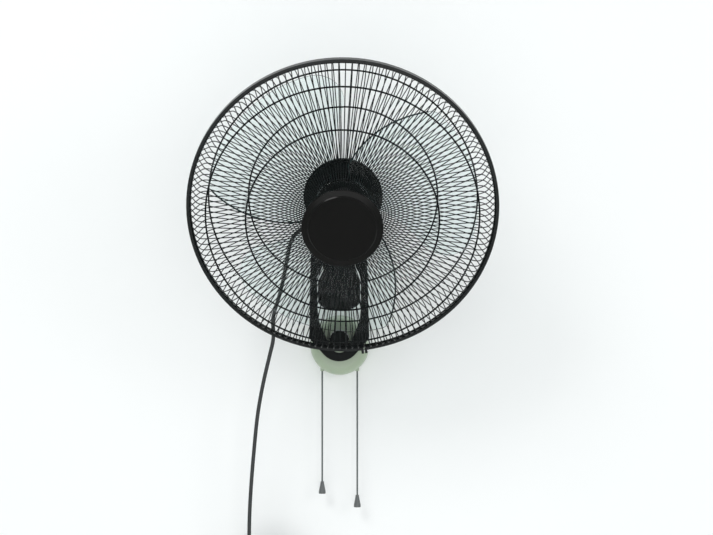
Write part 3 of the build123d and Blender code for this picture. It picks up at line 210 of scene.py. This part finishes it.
def grain_group():
    """Moulded or worked surface: two noises give a clouded colour, a roughness and a height."""
    name = "Surface grain"
    if name in bpy.data.node_groups:
        return bpy.data.node_groups[name]
    inputs = {
        "Vector": (VECTOR, None),
        "Light": (COLOUR, (0.8, 0.8, 0.8, 1)),
        "Dark": (COLOUR, (0.2, 0.2, 0.2, 1)),
        "Cloud scale": (FLOAT, 20.0),
        "Grain scale": (FLOAT, 900.0),
        "Roughness low": (FLOAT, 0.3),
        "Roughness high": (FLOAT, 0.45),
    }
    outputs = {"Color": COLOUR, "Roughness": FLOAT, "Height": FLOAT}
    group, given, wanted = new_group(name, inputs, outputs)
    cloud = noise(group, given["Vector"], given["Cloud scale"], CLOUD_DETAIL)
    grain = noise(group, given["Vector"], given["Grain scale"], GRAIN_DETAIL)
    tone = mix_colours(group, rescale(group, cloud, TONE_BAND), given["Dark"], given["Light"])
    gloss = rescale(group, cloud, GLOSS_BAND, (given["Roughness low"], given["Roughness high"]))
    group.links.new(tone, wanted["Color"])
    group.links.new(gloss, wanted["Roughness"])
    group.links.new(grain, wanted["Height"])
    return group


UPWARD_BAND = (0.1, 1.0)
DUST_SCALE = 60
DUST_DETAIL = 6


def dust_group():
    """Settled dust in patches, thicker on faces that look up, where it also dulls the gloss."""
    name = "Settled dust"
    if name in bpy.data.node_groups:
        return bpy.data.node_groups[name]
    inputs = {
        "Vector": (VECTOR, None),
        "Color": (COLOUR, (0.5, 0.5, 0.5, 1)),
        "Roughness": (FLOAT, 0.4),
        "Dust": (FLOAT, 0.1),
        "Dust colour": (COLOUR, (0.42, 0.42, 0.40, 1)),
    }
    group, given, wanted = new_group(name, inputs, {"Color": COLOUR, "Roughness": FLOAT})
    normal = add_node(group, "ShaderNodeNewGeometry").outputs["Normal"]
    split = add_node(group, "ShaderNodeSeparateXYZ", {"Vector": normal})
    upward = rescale(group, split.outputs["Z"], UPWARD_BAND)
    patches = noise(group, given["Vector"], DUST_SCALE, DUST_DETAIL)
    settled = compute(group, "MULTIPLY", upward, patches)
    amount = compute(group, "MULTIPLY", settled, given["Dust"], clamp=True)
    tone = mix_colours(group, amount, given["Color"], given["Dust colour"])
    rougher = compute(group, "ADD", given["Roughness"], amount, clamp=True)
    group.links.new(tone, wanted["Color"])
    group.links.new(rougher, wanted["Roughness"])
    return group


def place_group(tree, group, values):
    """The outputs of a node that holds the group, with its inputs set or linked."""
    return add_node(tree, "ShaderNodeGroup", values, node_tree=group).outputs


def new_material(name):
    """An empty node material, its tree, its shader and its texture coordinates."""
    material = bpy.data.materials.new(name)
    material.use_nodes = True
    tree = material.node_tree
    tree.nodes.clear()
    shader = add_node(tree, "ShaderNodeBsdfPrincipled")
    add_node(tree, "ShaderNodeOutputMaterial", {"Surface": shader.outputs["BSDF"]})
    return material, tree, shader, add_node(tree, "ShaderNodeTexCoord").outputs


def clear_where(tree, shader, factor, rgba):
    """Sees through the material, with this tint, where the factor is 1."""
    clear = add_node(tree, "ShaderNodeBsdfTransparent", {"Color": rgba})
    values = {"Fac": factor, 1: shader.outputs["BSDF"], 2: clear.outputs["BSDF"]}
    choose = add_node(tree, "ShaderNodeMixShader", values)
    output = next(node for node in tree.nodes if node.type == "OUTPUT_MATERIAL")
    tree.links.new(choose.outputs["Shader"], output.inputs["Surface"])


def shade(rgb, factor):
    """The colour made lighter or darker."""
    return tuple(min(1.0, channel * factor) for channel in rgb) + (1.0,)


GRAIN_DEPTH = 0.0002
COAT_ROUGHNESS = 0.04


def surface(
    name,
    rgb,
    rough=(0.3, 0.42),
    vary=0.12,
    cloud=22.0,
    grain=1400.0,
    bump=0.06,
    dust=0.0,
    metal=0.0,
    clearcoat=0.0,
    stretch=(1, 1, 1),
    specular=0.5,
):
    """A material with clouded colour, uneven gloss, fine grain and a little dust."""
    if name in bpy.data.materials:
        return bpy.data.materials[name]
    material, tree, shader, where = new_material(name)
    aim = add_node(tree, "ShaderNodeMapping", {"Scale": stretch, "Vector": where["Object"]})
    grained = place_group(
        tree,
        grain_group(),
        {
            "Vector": aim.outputs["Vector"],
            "Light": shade(rgb, 1 + vary),
            "Dark": shade(rgb, 1 - vary),
            "Cloud scale": cloud,
            "Grain scale": grain,
            "Roughness low": rough[0],
            "Roughness high": rough[1],
        },
    )
    dusted = place_group(
        tree,
        dust_group(),
        {
            "Vector": where["Object"],
            "Color": grained["Color"],
            "Roughness": grained["Roughness"],
            "Dust": dust,
        },
    )
    tree.links.new(dusted["Color"], shader.inputs["Base Color"])
    tree.links.new(dusted["Roughness"], shader.inputs["Roughness"])
    normal = relief(tree, grained["Height"], bump, GRAIN_DEPTH)
    tree.links.new(normal, shader.inputs["Normal"])
    shader.inputs["Metallic"].default_value = metal
    shader.inputs["Coat Weight"].default_value = clearcoat
    shader.inputs["Coat Roughness"].default_value = COAT_ROUGHNESS
    shader.inputs["Specular IOR Level"].default_value = specular
    return material


BROAD_BAND = (0.35, 0.6)
# painted shade: a dark tint on the blade faces that look across the axis, for the darkening that
# light gives the edge of clear plastic
NARROW_PAINTED_SHADE = (0.02, 0.05, 0.05, 1)
FLOW_MARK_TONE = 0.97
FLOW_MARK_SCALE = 9.0
FLOW_GRAIN_SCALE = 40.0
BLADE_ROUGHNESS = (0.0, 0.04)
BLADE_IOR = 1.45
BLADE_SPECULAR_TINT = (0.2, 0.2, 0.2, 1)
BLADE_SHADOW_TONE = 0.96


def edge_shade_tint(tree, where, tint, tone):
    """The tone on the broad faces, and a dark tint of painted shade on the moulding's narrow ones.
    """
    values = {0: where["Normal"], 1: FAN_AXIS}
    along = add_node(tree, "ShaderNodeVectorMath", values, operation="DOT_PRODUCT")
    facing = compute(tree, "ABSOLUTE", along.outputs["Value"])
    return mix_colours(tree, rescale(tree, facing, BROAD_BAND), tint, tone)


def clear_plastic(name, rgb):
    """The blades' clear plastic: flow marks in its gloss, a faint tint, and edges darkened with
    painted shade.
    """
    material, tree, shader, where = new_material(name)
    flow = place_group(
        tree,
        grain_group(),
        {
            "Vector": where["Object"],
            "Light": shade(rgb, 1.0),
            "Dark": shade(rgb, FLOW_MARK_TONE),
            "Cloud scale": FLOW_MARK_SCALE,
            "Grain scale": FLOW_GRAIN_SCALE,
            "Roughness low": BLADE_ROUGHNESS[0],
            "Roughness high": BLADE_ROUGHNESS[1],
        },
    )
    # the narrow faces get painted shade
    shaded_edges = edge_shade_tint(tree, where, NARROW_PAINTED_SHADE, flow["Color"])
    tree.links.new(shaded_edges, shader.inputs["Base Color"])
    tree.links.new(flow["Roughness"], shader.inputs["Roughness"])
    shader.inputs["Transmission Weight"].default_value = 1.0
    shader.inputs["IOR"].default_value = BLADE_IOR
    shader.inputs["Specular Tint"].default_value = BLADE_SPECULAR_TINT
    in_shadow = add_node(tree, "ShaderNodeLightPath").outputs["Is Shadow Ray"]
    clear_where(tree, shader, in_shadow, shade(rgb, BLADE_SHADOW_TONE))
    return material


def bands(tree, where, turn, stretch, axis, scale, wobble):
    """Fine bands along an axis, after a turn and a stretch."""
    values = {"Rotation": turn, "Scale": stretch, "Vector": where["Object"]}
    aim = add_node(tree, "ShaderNodeMapping", values)
    values = {"Scale": scale, "Distortion": wobble, "Vector": aim.outputs["Vector"]}
    return add_node(tree, "ShaderNodeTexWave", values, bands_direction=axis).outputs["Fac"]


BAND_DEPTH = 0.0003
BRAID_ANGLE = 0.9
BRAID_SCALE = 0.32
BRAID_WOBBLE = 0.4
BRAID_SHADE_AND_LIGHT = (0.55, 1.25)
BRAID_RELIEF = 0.6
BRAID_ROUGHNESS = 0.8


def braid(name, rgb, pitch):
    """Braided cord: crossed diagonal bands in height, with painted shade in the grooves between
    strands and painted light on the strands' crowns.
    """
    material, tree, shader, where = new_material(name)
    fine = (1 / pitch, 1 / pitch, 1 / pitch)
    there, back = (
        bands(tree, where, (0, angle, 0), fine, "Z", BRAID_SCALE, BRAID_WOBBLE)
        for angle in (BRAID_ANGLE, -BRAID_ANGLE)
    )
    over = compute(tree, "MAXIMUM", there, back)
    # painted shade in the low parts of the braid and painted light on the high parts
    tone = mix_colours(tree, over, shade(rgb, BRAID_SHADE_AND_LIGHT[0]), shade(rgb, BRAID_SHADE_AND_LIGHT[1]))
    tree.links.new(tone, shader.inputs["Base Color"])
    tree.links.new(relief(tree, over, BRAID_RELIEF, BAND_DEPTH), shader.inputs["Normal"])
    shader.inputs["Roughness"].default_value = BRAID_ROUGHNESS
    return material


WAVES_PER_SCALE = 20
LAYER_WOBBLE = 0.6
LAYER_SHADE_AND_LIGHT = (0.6, 1.2)
LAYER_RELIEF = 0.5
LAYER_ROUGHNESS = 0.38


def layered(name, rgb, lines_per_metre, axis):
    """Stacked laminations or wound wire in metal: fine lines in height, darker in each groove and
    lighter on each ridge; the dark lines are the joints between laminations and painted shade
    between turns of wire, the light ones painted light.
    """
    material, tree, shader, where = new_material(name)
    scale = lines_per_metre / WAVES_PER_SCALE
    lines = bands(tree, where, (HEAD_TILT, 0, 0), (1, 1, 1), axis, scale, LAYER_WOBBLE)
    # darker in the grooves and lighter on the ridges: painted shade and painted light, and on the
    # laminations also their joints
    tone = mix_colours(tree, lines, shade(rgb, LAYER_SHADE_AND_LIGHT[0]), shade(rgb, LAYER_SHADE_AND_LIGHT[1]))
    tree.links.new(tone, shader.inputs["Base Color"])
    tree.links.new(relief(tree, lines, LAYER_RELIEF, BAND_DEPTH), shader.inputs["Normal"])
    shader.inputs["Metallic"].default_value = 1.0
    shader.inputs["Roughness"].default_value = LAYER_ROUGHNESS
    return material


def coat(names, material):
    """Gives each CAD node its finish."""
    for name in names:
        node = nodes[name]
        if not node.material_slots:
            node.data.materials.append(material)
        for place in node.material_slots:
            place.material = material


def dress(piece, material):
    """Gives a new piece its finish."""
    piece.data.materials.clear()
    piece.data.materials.append(material)


def deselect():
    """Leaves nothing selected, so an operator acts only on what comes next."""
    bpy.ops.object.select_all(action="DESELECT")


def select_only(piece):
    """Leaves this piece alone selected and active."""
    deselect()
    piece.select_set(True)
    bpy.context.view_layer.objects.active = piece


def round_out(line, radius, steps):
    """Gives a curve object a round section and flat ends, and turns it into a smooth mesh."""
    line.data.bevel_depth = radius
    line.data.bevel_resolution = steps
    line.data.use_fill_caps = True
    select_only(line)
    bpy.ops.object.convert(target="MESH")
    bpy.ops.object.shade_smooth_by_angle(angle=SMOOTH_ANGLE)
    return bpy.context.view_layer.objects.active


# ------------------------------------------------------------------ finishes by use
def black_plastic():
    """Moulded black plastic with a low sheen."""
    return surface(
        "Black plastic",
        bpy.context.scene.fan_finish.black,
        rough=(0.24, 0.36),
        vary=0.25,
        cloud=14,
        grain=2200,
        bump=0.10,
        dust=0.02,
        specular=0.08,
    )


def nylon():
    """Undyed nylon."""
    return surface("Natural nylon", (0.70, 0.69, 0.64), rough=(0.42, 0.55), vary=0.05, bump=0.08)


def plated_steel():
    """Sheet steel with a mottled zinc plate."""
    return surface(
        "Zinc plate",
        (0.46, 0.47, 0.48),
        rough=(0.28, 0.5),
        vary=0.16,
        cloud=60,
        grain=700,
        bump=0.10,
        metal=1.0,
    )


def turned_steel():
    """Bright steel with fine turning marks."""
    return surface(
        "Turned steel",
        (0.52, 0.52, 0.53),
        rough=(0.18, 0.34),
        vary=0.08,
        cloud=30,
        grain=500,
        bump=0.12,
        metal=1.0,
        stretch=(1, 8, 8),
    )


def screw_steel():
    """Bright plate of the small screws."""
    return surface(
        "Plated screw", (0.60, 0.60, 0.61), rough=(0.14, 0.3), vary=0.1, cloud=90, metal=1.0
    )


# ------------------------------------------------------------------ operators
class FAN_OT_wall_base(bpy.types.Operator):
    """Finish the wall plate, its moulded cover and what they hold"""

    bl_idname = "fan.wall_base"
    bl_label = "Wall base"

    def execute(self, context):
        shell = surface(
            "Sage shell",
            context.scene.fan_finish.shell,
            rough=(0.30, 0.40),
            vary=0.05,
            cloud=10,
            grain=2600,
            bump=0.05,
            dust=0.12,
            clearcoat=0.25,
        )
        coat(["base_housing", "cord_eyelets"], shell)
        coat(["wall_plate"], plated_steel())
        coat(["base_screws"], screw_steel())
        coat(["terminal_block"], nylon())
        dark = surface("Switch moulding", (0.05, 0.05, 0.05), rough=(0.45, 0.6), bump=0.12)
        coat(["speed_switch", "swing_switch"], dark)
        return {"FINISHED"}


class FAN_OT_fork_arm(bpy.types.Operator):
    """Finish the fork arm, its clamp bolt and its knob"""

    bl_idname = "fan.fork_arm"
    bl_label = "Fork arm"

    def execute(self, context):
        coat(["arm", "arm_knob"], black_plastic())
        coat(["clamp_bolt", "tilt_screws"], turned_steel())
        coat(["tilt_washers"], nylon())
        return {"FINISHED"}


class FAN_OT_swing_barrel(bpy.types.Operator):
    """Finish the barrel and the swing drive in it"""

    bl_idname = "fan.swing_barrel"
    bl_label = "Swing barrel"

    def execute(self, context):
        coat(["swing_barrel", "barrel_cap", "cord_gland"], black_plastic())
        coat(["swing_motor", "swing_lever"], plated_steel())
        coat(["swing_crank", "thrust_washer"], nylon())
        coat(["pan_spindle"], turned_steel())
        bronze = surface(
            "Sintered bronze", (0.42, 0.27, 0.11), rough=(0.4, 0.6), vary=0.2, cloud=300, metal=1.0
        )
        coat(["spindle_bush", "shaft_bushes"], bronze)
        return {"FINISHED"}


class FAN_OT_motor(bpy.types.Operator):
    """Finish the motor, its bracket and its covers"""

    bl_idname = "fan.motor"
    bl_label = "Motor"

    def execute(self, context):
        coat(["motor_front_cover", "motor_rear_cover", "guard_nut"], black_plastic())
        coat(["motor_bracket"], plated_steel())
        cast = surface(
            "Cast aluminium",
            (0.55, 0.56, 0.57),
            rough=(0.4, 0.6),
            vary=0.1,
            cloud=120,
            grain=900,
            bump=0.35,
            metal=1.0,
        )
        coat(["motor_front_bell", "motor_rear_bell"], cast)
        stack = layered("Laminations", (0.2, 0.2, 0.21), lines_per_metre=2000, axis="Y")
        coat(["stator_core", "rotor_core"], stack)
        copper = layered("Enamelled copper", (0.45, 0.16, 0.06), lines_per_metre=1400, axis="Z")
        coat(["stator_windings"], copper)
        coat(["motor_shaft", "drive_pin"], turned_steel())
        coat(["bracket_screws", "rear_cover_screw", "badge_screws"], screw_steel())
        sleeve = surface("Capacitor case", (0.04, 0.04, 0.045), rough=(0.3, 0.4), clearcoat=0.3)
        coat(["capacitor"], sleeve)
        return {"FINISHED"}


# a point on the blades' axis, and how far out from the axis the trim of painted shade starts, in
# metres
HUB_POINT = Vector((0.007, -0.2699, 0.2061))
HUB_CLEARANCE = 0.045
TRIM_RADIUS = 0.0012
TRIM_STEPS = 2
# how far the faces beside a trailing edge may face along the axis, or have to face back
WALL_TURN_MOST = 0.35
FRONT_TURN_LEAST = 0.4
TRAILING_TURN_LEAST = 0.75


def is_trailing(edge, axis):
    """Whether the edge is a front corner of a blade's trailing wall."""
    if len(edge.link_faces) != 2:
        return False
    normals = (face.normal for face in edge.link_faces)
    wall, front = sorted(normals, key=lambda normal: abs(normal.dot(axis)))
    out = (edge.verts[0].co + edge.verts[1].co) / 2 - HUB_POINT
    out -= axis * out.dot(axis)
    behind = axis.cross(out).normalized()
    return (
        abs(wall.dot(axis)) < WALL_TURN_MOST
        and front.dot(axis) > FRONT_TURN_LEAST
        and out.length > HUB_CLEARANCE
        and wall.dot(behind) > TRAILING_TURN_LEAST
    )


def trailing_edges(node):
    """A mesh of edges alone, along the front corners of the blades' trailing walls."""
    axis = Vector(FAN_AXIS)
    shape = bmesh.new()
    shape.from_mesh(nodes[node].data)
    bmesh.ops.remove_doubles(shape, verts=shape.verts, dist=MERGE_DISTANCE)
    kept = [edge for edge in shape.edges if is_trailing(edge, axis)]
    corners = sorted({vert for edge in kept for vert in edge.verts}, key=lambda vert: vert.index)
    place = {vert: number for number, vert in enumerate(corners)}
    pairs = [(place[edge.verts[0]], place[edge.verts[1]]) for edge in kept]
    mesh = bpy.data.meshes.new("blade_edge_shade_trim")
    mesh.from_pydata([vert.co.copy() for vert in corners], pairs, [])
    shape.free()
    return mesh


class FAN_OT_blades(bpy.types.Operator):
    """Finish the clear blades, the near black trim of painted shade on their trailing edges and
    the nut that holds them
    """

    bl_idname = "fan.blades"
    bl_label = "Blades"

    def execute(self, context):
        finish = context.scene.fan_finish
        coat(["fan_blades"], clear_plastic("Clear blade plastic", finish.blade))
        coat(["blade_nut"], black_plastic())
        # a thin near black tube along each trailing edge: painted shade for the dark line that
        # light makes at a clear blade's edge
        shade_trim = bpy.data.objects.new("blade_edge_shade_trim", trailing_edges("fan_blades"))
        context.scene.collection.objects.link(shade_trim)
        select_only(shade_trim)
        bpy.ops.object.convert(target="CURVE")
        shade_trim = round_out(shade_trim, TRIM_RADIUS, TRIM_STEPS)
        dress(
            shade_trim, surface("Blade edge painted shade", finish.blade_edge_shade, rough=(0.12, 0.22), vary=0.2, bump=0.03)
        )
        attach(shade_trim, "rotor_side")
        return {"FINISHED"}


class FAN_OT_guard(bpy.types.Operator):
    """Finish the two wire guards, their rim and the badge"""

    bl_idname = "fan.guard"
    bl_label = "Guard"

    def execute(self, context):
        finish = context.scene.fan_finish
        wire = surface(
            "Coated wire",
            finish.wire,
            rough=(0.22, 0.34),
            vary=0.2,
            cloud=40,
            grain=1800,
            bump=0.05,
            specular=0.09,
        )
        coat(["front_guard", "rear_guard"], wire)
        rim = surface(
            "Rim band",
            finish.rim,
            rough=(0.25, 0.34),
            vary=0.15,
            bump=0.06,
            dust=0.03,
            specular=0.3,
        )
        coat(["guard_rim_band"], rim)
        coat(["rim_screw"], screw_steel())
        gloss = surface(
            "Gloss badge",
            finish.badge,
            rough=(0.10, 0.16),
            vary=0.1,
            cloud=8,
            bump=0.01,
            specular=0.16,
        )
        coat(["badge"], gloss)
        return {"FINISHED"}


# the lead's route from its gland down to the coil, in millimetres
LEAD_POINTS = [
    (-34.0, -138.2, 186.3),
    (-46.0, -138.2, 186.3),
    (-58.0, -134.6, 182.2),
    (-67.8, -128.3, 173.5),
    (-74.8, -121.0, 160.0),
    (-79.7, -112.5, 137.0),
    (-85.5, -97.5, 107.0),
    (-93.7, -85.0, 76.0),
    (-104.4, -81.5, 45.0),
    (-100.8, -81.5, 17.0),
    (-108.5, -80.5, -14.0),
    (-119.0, -79.5, -58.0),
    (-127.5, -78.0, -106.0),
    (-132.5, -75.0, -157.0),
    (-137.2, -70.2, -209.0),
    (-140.3, -66.3, -258.0),
    (-141.2, -64.3, -302.0),
    (-141.2, -64.3, -345.0),
]
# the put-away coil under the route's end, in millimetres
COIL_RADIUS = 42.0
COIL_PITCH = 6.5
COIL_HALF_TURNS = 6
POINTS_PER_HALF_TURN = 6
TAIL_LENGTH = 31.0
SPLINE_ORDER = 3
SPLINE_STEPS = 8
CORD_STEPS = 6


def coil_points(start):
    """Points of the put-away coil and of the straight tail at its end, in millimetres."""
    shrinking = [COIL_RADIUS - step * COIL_PITCH / 2 for step in range(COIL_HALF_TURNS)]
    climb_radius = COIL_RADIUS - COIL_HALF_TURNS * COIL_PITCH / 2
    radii = shrinking + [climb_radius] + shrinking[:0:-1]
    stretch = 1 / cos(pi / (2 * POINTS_PER_HALF_TURN))
    points = []
    x, y, z = start
    for step, radius in enumerate(radii):
        sideways = 1 if step % 2 == 0 else -1
        climb = -COIL_PITCH if step == COIL_HALF_TURNS else 0.0
        for place in range(POINTS_PER_HALF_TURN):
            share = (place + 0.5) / POINTS_PER_HALF_TURN
            angle = pi * share
            across = sideways * radius * (1 - stretch * cos(angle))
            down = -sideways * radius * stretch * sin(angle)
            points.append((x + across, y + climb * share, z + down))
        x += sideways * 2 * radius
        y += climb
    points.append((x, y, z - TAIL_LENGTH))
    return points


def smooth_line(name, points):
    """A curve object with one quadratic NURBS spline, from control points in millimetres."""
    data = bpy.data.curves.new(name, "CURVE")
    data.dimensions = "3D"
    spline = data.splines.new("NURBS")
    spline.points.add(len(points) - 1)
    for point, place in zip(spline.points, points):
        point.co = (place[0] * MM, place[1] * MM, place[2] * MM, 1)
    spline.order_u = SPLINE_ORDER
    spline.use_endpoint_u = True
    spline.resolution_u = SPLINE_STEPS
    obj = bpy.data.objects.new(name, data)
    bpy.context.scene.collection.objects.link(obj)
    return obj


def read_line(obj):
    """The points of the curve's own line."""
    mesh = bpy.data.meshes.new_from_object(obj)
    points = [vertex.co.copy() for vertex in mesh.vertices]
    bpy.data.meshes.remove(mesh)
    return points


def tube(name, points, diameter):
    """A round cord as a mesh, and the points of its middle line."""
    line = smooth_line(name, points)
    path = read_line(line)
    return round_out(line, diameter / 2, CORD_STEPS), path


class FAN_OT_mains_lead(bpy.types.Operator):
    """Lay the mains lead from its gland down to the put-away coil and the plug"""

    bl_idname = "fan.mains_lead"
    bl_label = "Mains lead"

    def execute(self, context):
        finish = context.scene.fan_finish
        sizes = context.scene.fan_cords
        route = LEAD_POINTS + coil_points(LEAD_POINTS[-1])
        lead, path = tube("mains_lead", route, sizes.lead_diameter)
        jacket = surface(
            "Lead jacket", finish.lead, rough=(0.34, 0.5), vary=0.2, cloud=50, grain=900, bump=0.12
        )
        dress(lead, jacket)
        moulding = surface(
            "Plug moulding", (0.02, 0.02, 0.02), rough=(0.4, 0.55), grain=1600, bump=0.2
        )
        coat(["plug_body"], moulding)
        pins = surface(
            "Nickel pins", (0.62, 0.58, 0.50), rough=(0.15, 0.3), vary=0.08, cloud=80, metal=1.0
        )
        coat(["plug_pins"], pins)
        coat(["cord_tie"], nylon())
        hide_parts("power_cord", "power_cord_coil")
        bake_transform(lead)
        return {"FINISHED"}


# each pull cord's place across, the height of its bell's top and its body, in millimetres
PULLS = {
    "left": (-27.8, -215.5, "speed_pull"),
    "right": (27.8, -237.0, "swing_pull"),
}
PULL_OUT = 24.0
SLIDER_FOOT = -19.0


class FAN_OT_pull_cords(bpy.types.Operator):
    """Hang the two pull cords with their bells and sliders"""

    bl_idname = "fan.pull_cords"
    bl_label = "Pull cords"

    def execute(self, context):
        finish = context.scene.fan_finish
        sizes = context.scene.fan_cords
        weave = braid("Pull braid", finish.pull, sizes.braid_pitch)
        bell = surface(
            "Pull bell", finish.bell, rough=(0.28, 0.4), vary=0.12, bump=0.05, clearcoat=0.2
        )
        for side, (x, knob_top, body) in PULLS.items():
            middle = (SLIDER_FOOT + knob_top) / 2
            drop = [(x, -PULL_OUT, z) for z in (SLIDER_FOOT, middle, knob_top)]
            cord, path = tube("pull_line_" + side, drop, sizes.pull_diameter)
            dress(cord, weave)
            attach(cord, body)
            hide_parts("pull_cord_" + side)
            coat(["pull_knob_" + side], bell)
            coat(["pull_slider_" + side], nylon())
        return {"FINISHED"}


UPRIGHT = (radians(90), 0, 0)
WALL_SIZE = (6.0, 5.0)
WALL_PLACE = (0, 0.0005, 0.2)
FLOOR_SIZE = (6.0, 6.0)
FLOOR_PLACE = (0, -2.99, -2.2)
SENSOR_WIDTH = 36
NEAR_CLIP = 0.05
# each lamp's name, place, what it faces, its width and its share of the key light's power
LAMPS = (
    ("key", (-1.3, -2.4, 1.9), (0, -0.2, 0.1), 1.2, 1.0),
    ("side", (1.6, -1.8, 0.6), (0, -0.2, 0.1), 0.7, 0.2),
    ("front", (0.1, -2.9, -0.5), (0, -0.1, 0.05), 2.2, 0.8),
)
ROOM_TINT = (0.96, 0.985, 1.0, 1)
BACKDROP_TINT = (0.96, 0.97, 0.965, 1)
PAINT_CLOUD_TONE = 0.985
PAINT_CLOUD_SCALE = 1.5
PAINT_ROUGHNESS = (0.8, 0.9)
PAINT_SPECULAR = 0.1


class FAN_OT_stage(bpy.types.Operator):
    """Set up the wall, the floor, the lights and the camera"""

    bl_idname = "fan.stage"
    bl_label = "Stage"

    def execute(self, context):
        setup = context.scene.fan_stage
        scene = context.scene
        wall_paint = self.paint("wall paint", setup.wall_colour, setup.wall_opening)
        wall = self.panel("wall", WALL_SIZE, WALL_PLACE, UPRIGHT, wall_paint)
        floor_paint = self.paint("floor paint", setup.floor_colour)
        floor = self.panel("floor", FLOOR_SIZE, FLOOR_PLACE, (0, 0, 0), floor_paint)
        scene.world = scene.world or bpy.data.worlds.new("Room")
        self.room_light(scene.world, setup.fill_light)
        for name, place, target, size, share in LAMPS:
            self.lamp(name, place, target, size, setup.key_light * share)
        lens = bpy.data.cameras.new("camera")
        lens.lens = setup.camera_lens
        lens.sensor_width = SENSOR_WIDTH
        lens.clip_start = NEAR_CLIP
        camera = bpy.data.objects.new("camera", lens)
        camera.location = (setup.camera_across, -setup.camera_out, setup.camera_height)
        camera.rotation_euler = UPRIGHT
        scene.collection.objects.link(camera)
        scene.camera = camera
        scene.view_settings.view_transform = "Standard"
        return {"FINISHED"}

    def panel(self, name, size, place, turn, material):
        """A plain flat panel."""
        deselect()
        bpy.ops.mesh.primitive_plane_add(size=1, location=place, rotation=turn)
        made = bpy.context.active_object
        made.name = name
        made.scale = (size[0], size[1], 1)
        bpy.ops.object.transform_apply(location=True, rotation=True, scale=True)
        dress(made, material)
        return made

    def paint(self, name, rgb, opening=0.0):
        """Matt paint, faintly clouded, clear from behind and within the opening at the origin."""
        material, tree, shader, where = new_material(name)
        clouded = place_group(
            tree,
            grain_group(),
            {
                "Vector": where["Object"],
                "Light": shade(rgb, 1.0),
                "Dark": shade(rgb, PAINT_CLOUD_TONE),
                "Cloud scale": PAINT_CLOUD_SCALE,
                "Roughness low": PAINT_ROUGHNESS[0],
                "Roughness high": PAINT_ROUGHNESS[1],
            },
        )
        tree.links.new(clouded["Color"], shader.inputs["Base Color"])
        tree.links.new(clouded["Roughness"], shader.inputs["Roughness"])
        shader.inputs["Specular IOR Level"].default_value = PAINT_SPECULAR
        away = add_node(tree, "ShaderNodeVectorMath", {0: where["Object"]}, operation="LENGTH")
        opened = compute(tree, "LESS_THAN", away.outputs["Value"], opening)
        behind = add_node(tree, "ShaderNodeNewGeometry").outputs["Backfacing"]
        clear_where(tree, shader, compute(tree, "MAXIMUM", opened, behind), WHITE)
        return material

    def room_light(self, world, strength):
        """Even light from all round, and a plain white backdrop where the camera sees it."""
        world.use_nodes = True
        tree = world.node_tree
        tree.nodes.clear()
        values = {"Color": ROOM_TINT, "Strength": strength}
        lit = add_node(tree, "ShaderNodeBackground", values)
        values = {"Color": BACKDROP_TINT, "Strength": 1.0}
        seen = add_node(tree, "ShaderNodeBackground", values)
        by_camera = add_node(tree, "ShaderNodeLightPath").outputs["Is Camera Ray"]
        values = {"Fac": by_camera, 1: lit.outputs["Background"], 2: seen.outputs["Background"]}
        mix = add_node(tree, "ShaderNodeMixShader", values)
        add_node(tree, "ShaderNodeOutputWorld", {"Surface": mix.outputs["Shader"]})

    def lamp(self, name, place, target, size, power):
        """A soft square lamp that faces the target."""
        light = bpy.data.lights.new(name, "AREA")
        light.size = size
        light.energy = power
        lamp = bpy.data.objects.new(name, light)
        lamp.location = place
        aim = Vector(target) - Vector(place)
        lamp.rotation_euler = aim.to_track_quat("-Z", "Y").to_euler()
        bpy.context.scene.collection.objects.link(lamp)


class FAN_PT_panel(bpy.types.Panel):
    """Lists the fan's settings and steps"""

    bl_idname = "FAN_PT_panel"
    bl_label = "Wall fan"
    bl_space_type = "VIEW_3D"
    bl_region_type = "UI"
    bl_category = "Wall fan"

    def draw(self, context):
        layout = self.layout
        for group in (context.scene.fan_finish, context.scene.fan_cords, context.scene.fan_stage):
            box = layout.box()
            for name in group.__annotations__:
                box.prop(group, name)
        for step in STEPS:
            layout.operator(step.bl_idname)


STEPS = (
    FAN_OT_stage,
    FAN_OT_mains_lead,
    FAN_OT_pull_cords,
    FAN_OT_wall_base,
    FAN_OT_fork_arm,
    FAN_OT_swing_barrel,
    FAN_OT_motor,
    FAN_OT_blades,
    FAN_OT_guard,
)
GROUPS = {"fan_finish": FanFinish, "fan_cords": FanCords, "fan_stage": FanStage}


def register():
    """Adds the settings, the steps and the panel."""
    for group in GROUPS.values():
        bpy.utils.register_class(group)
    for name, group in GROUPS.items():
        setattr(bpy.types.Scene, name, bpy.props.PointerProperty(type=group))
    for step in STEPS:
        bpy.utils.register_class(step)
    bpy.utils.register_class(FAN_PT_panel)


def unregister():
    """Takes them away again."""
    bpy.utils.unregister_class(FAN_PT_panel)
    for step in reversed(STEPS):
        bpy.utils.unregister_class(step)
    for name, group in GROUPS.items():
        delattr(bpy.types.Scene, name)
        bpy.utils.unregister_class(group)


def main():
    """Runs every step in order."""
    register()
    for step in STEPS:
        family, name = step.bl_idname.split(".")
        getattr(getattr(bpy.ops, family), name)()


if __name__ == "__main__":
    main()
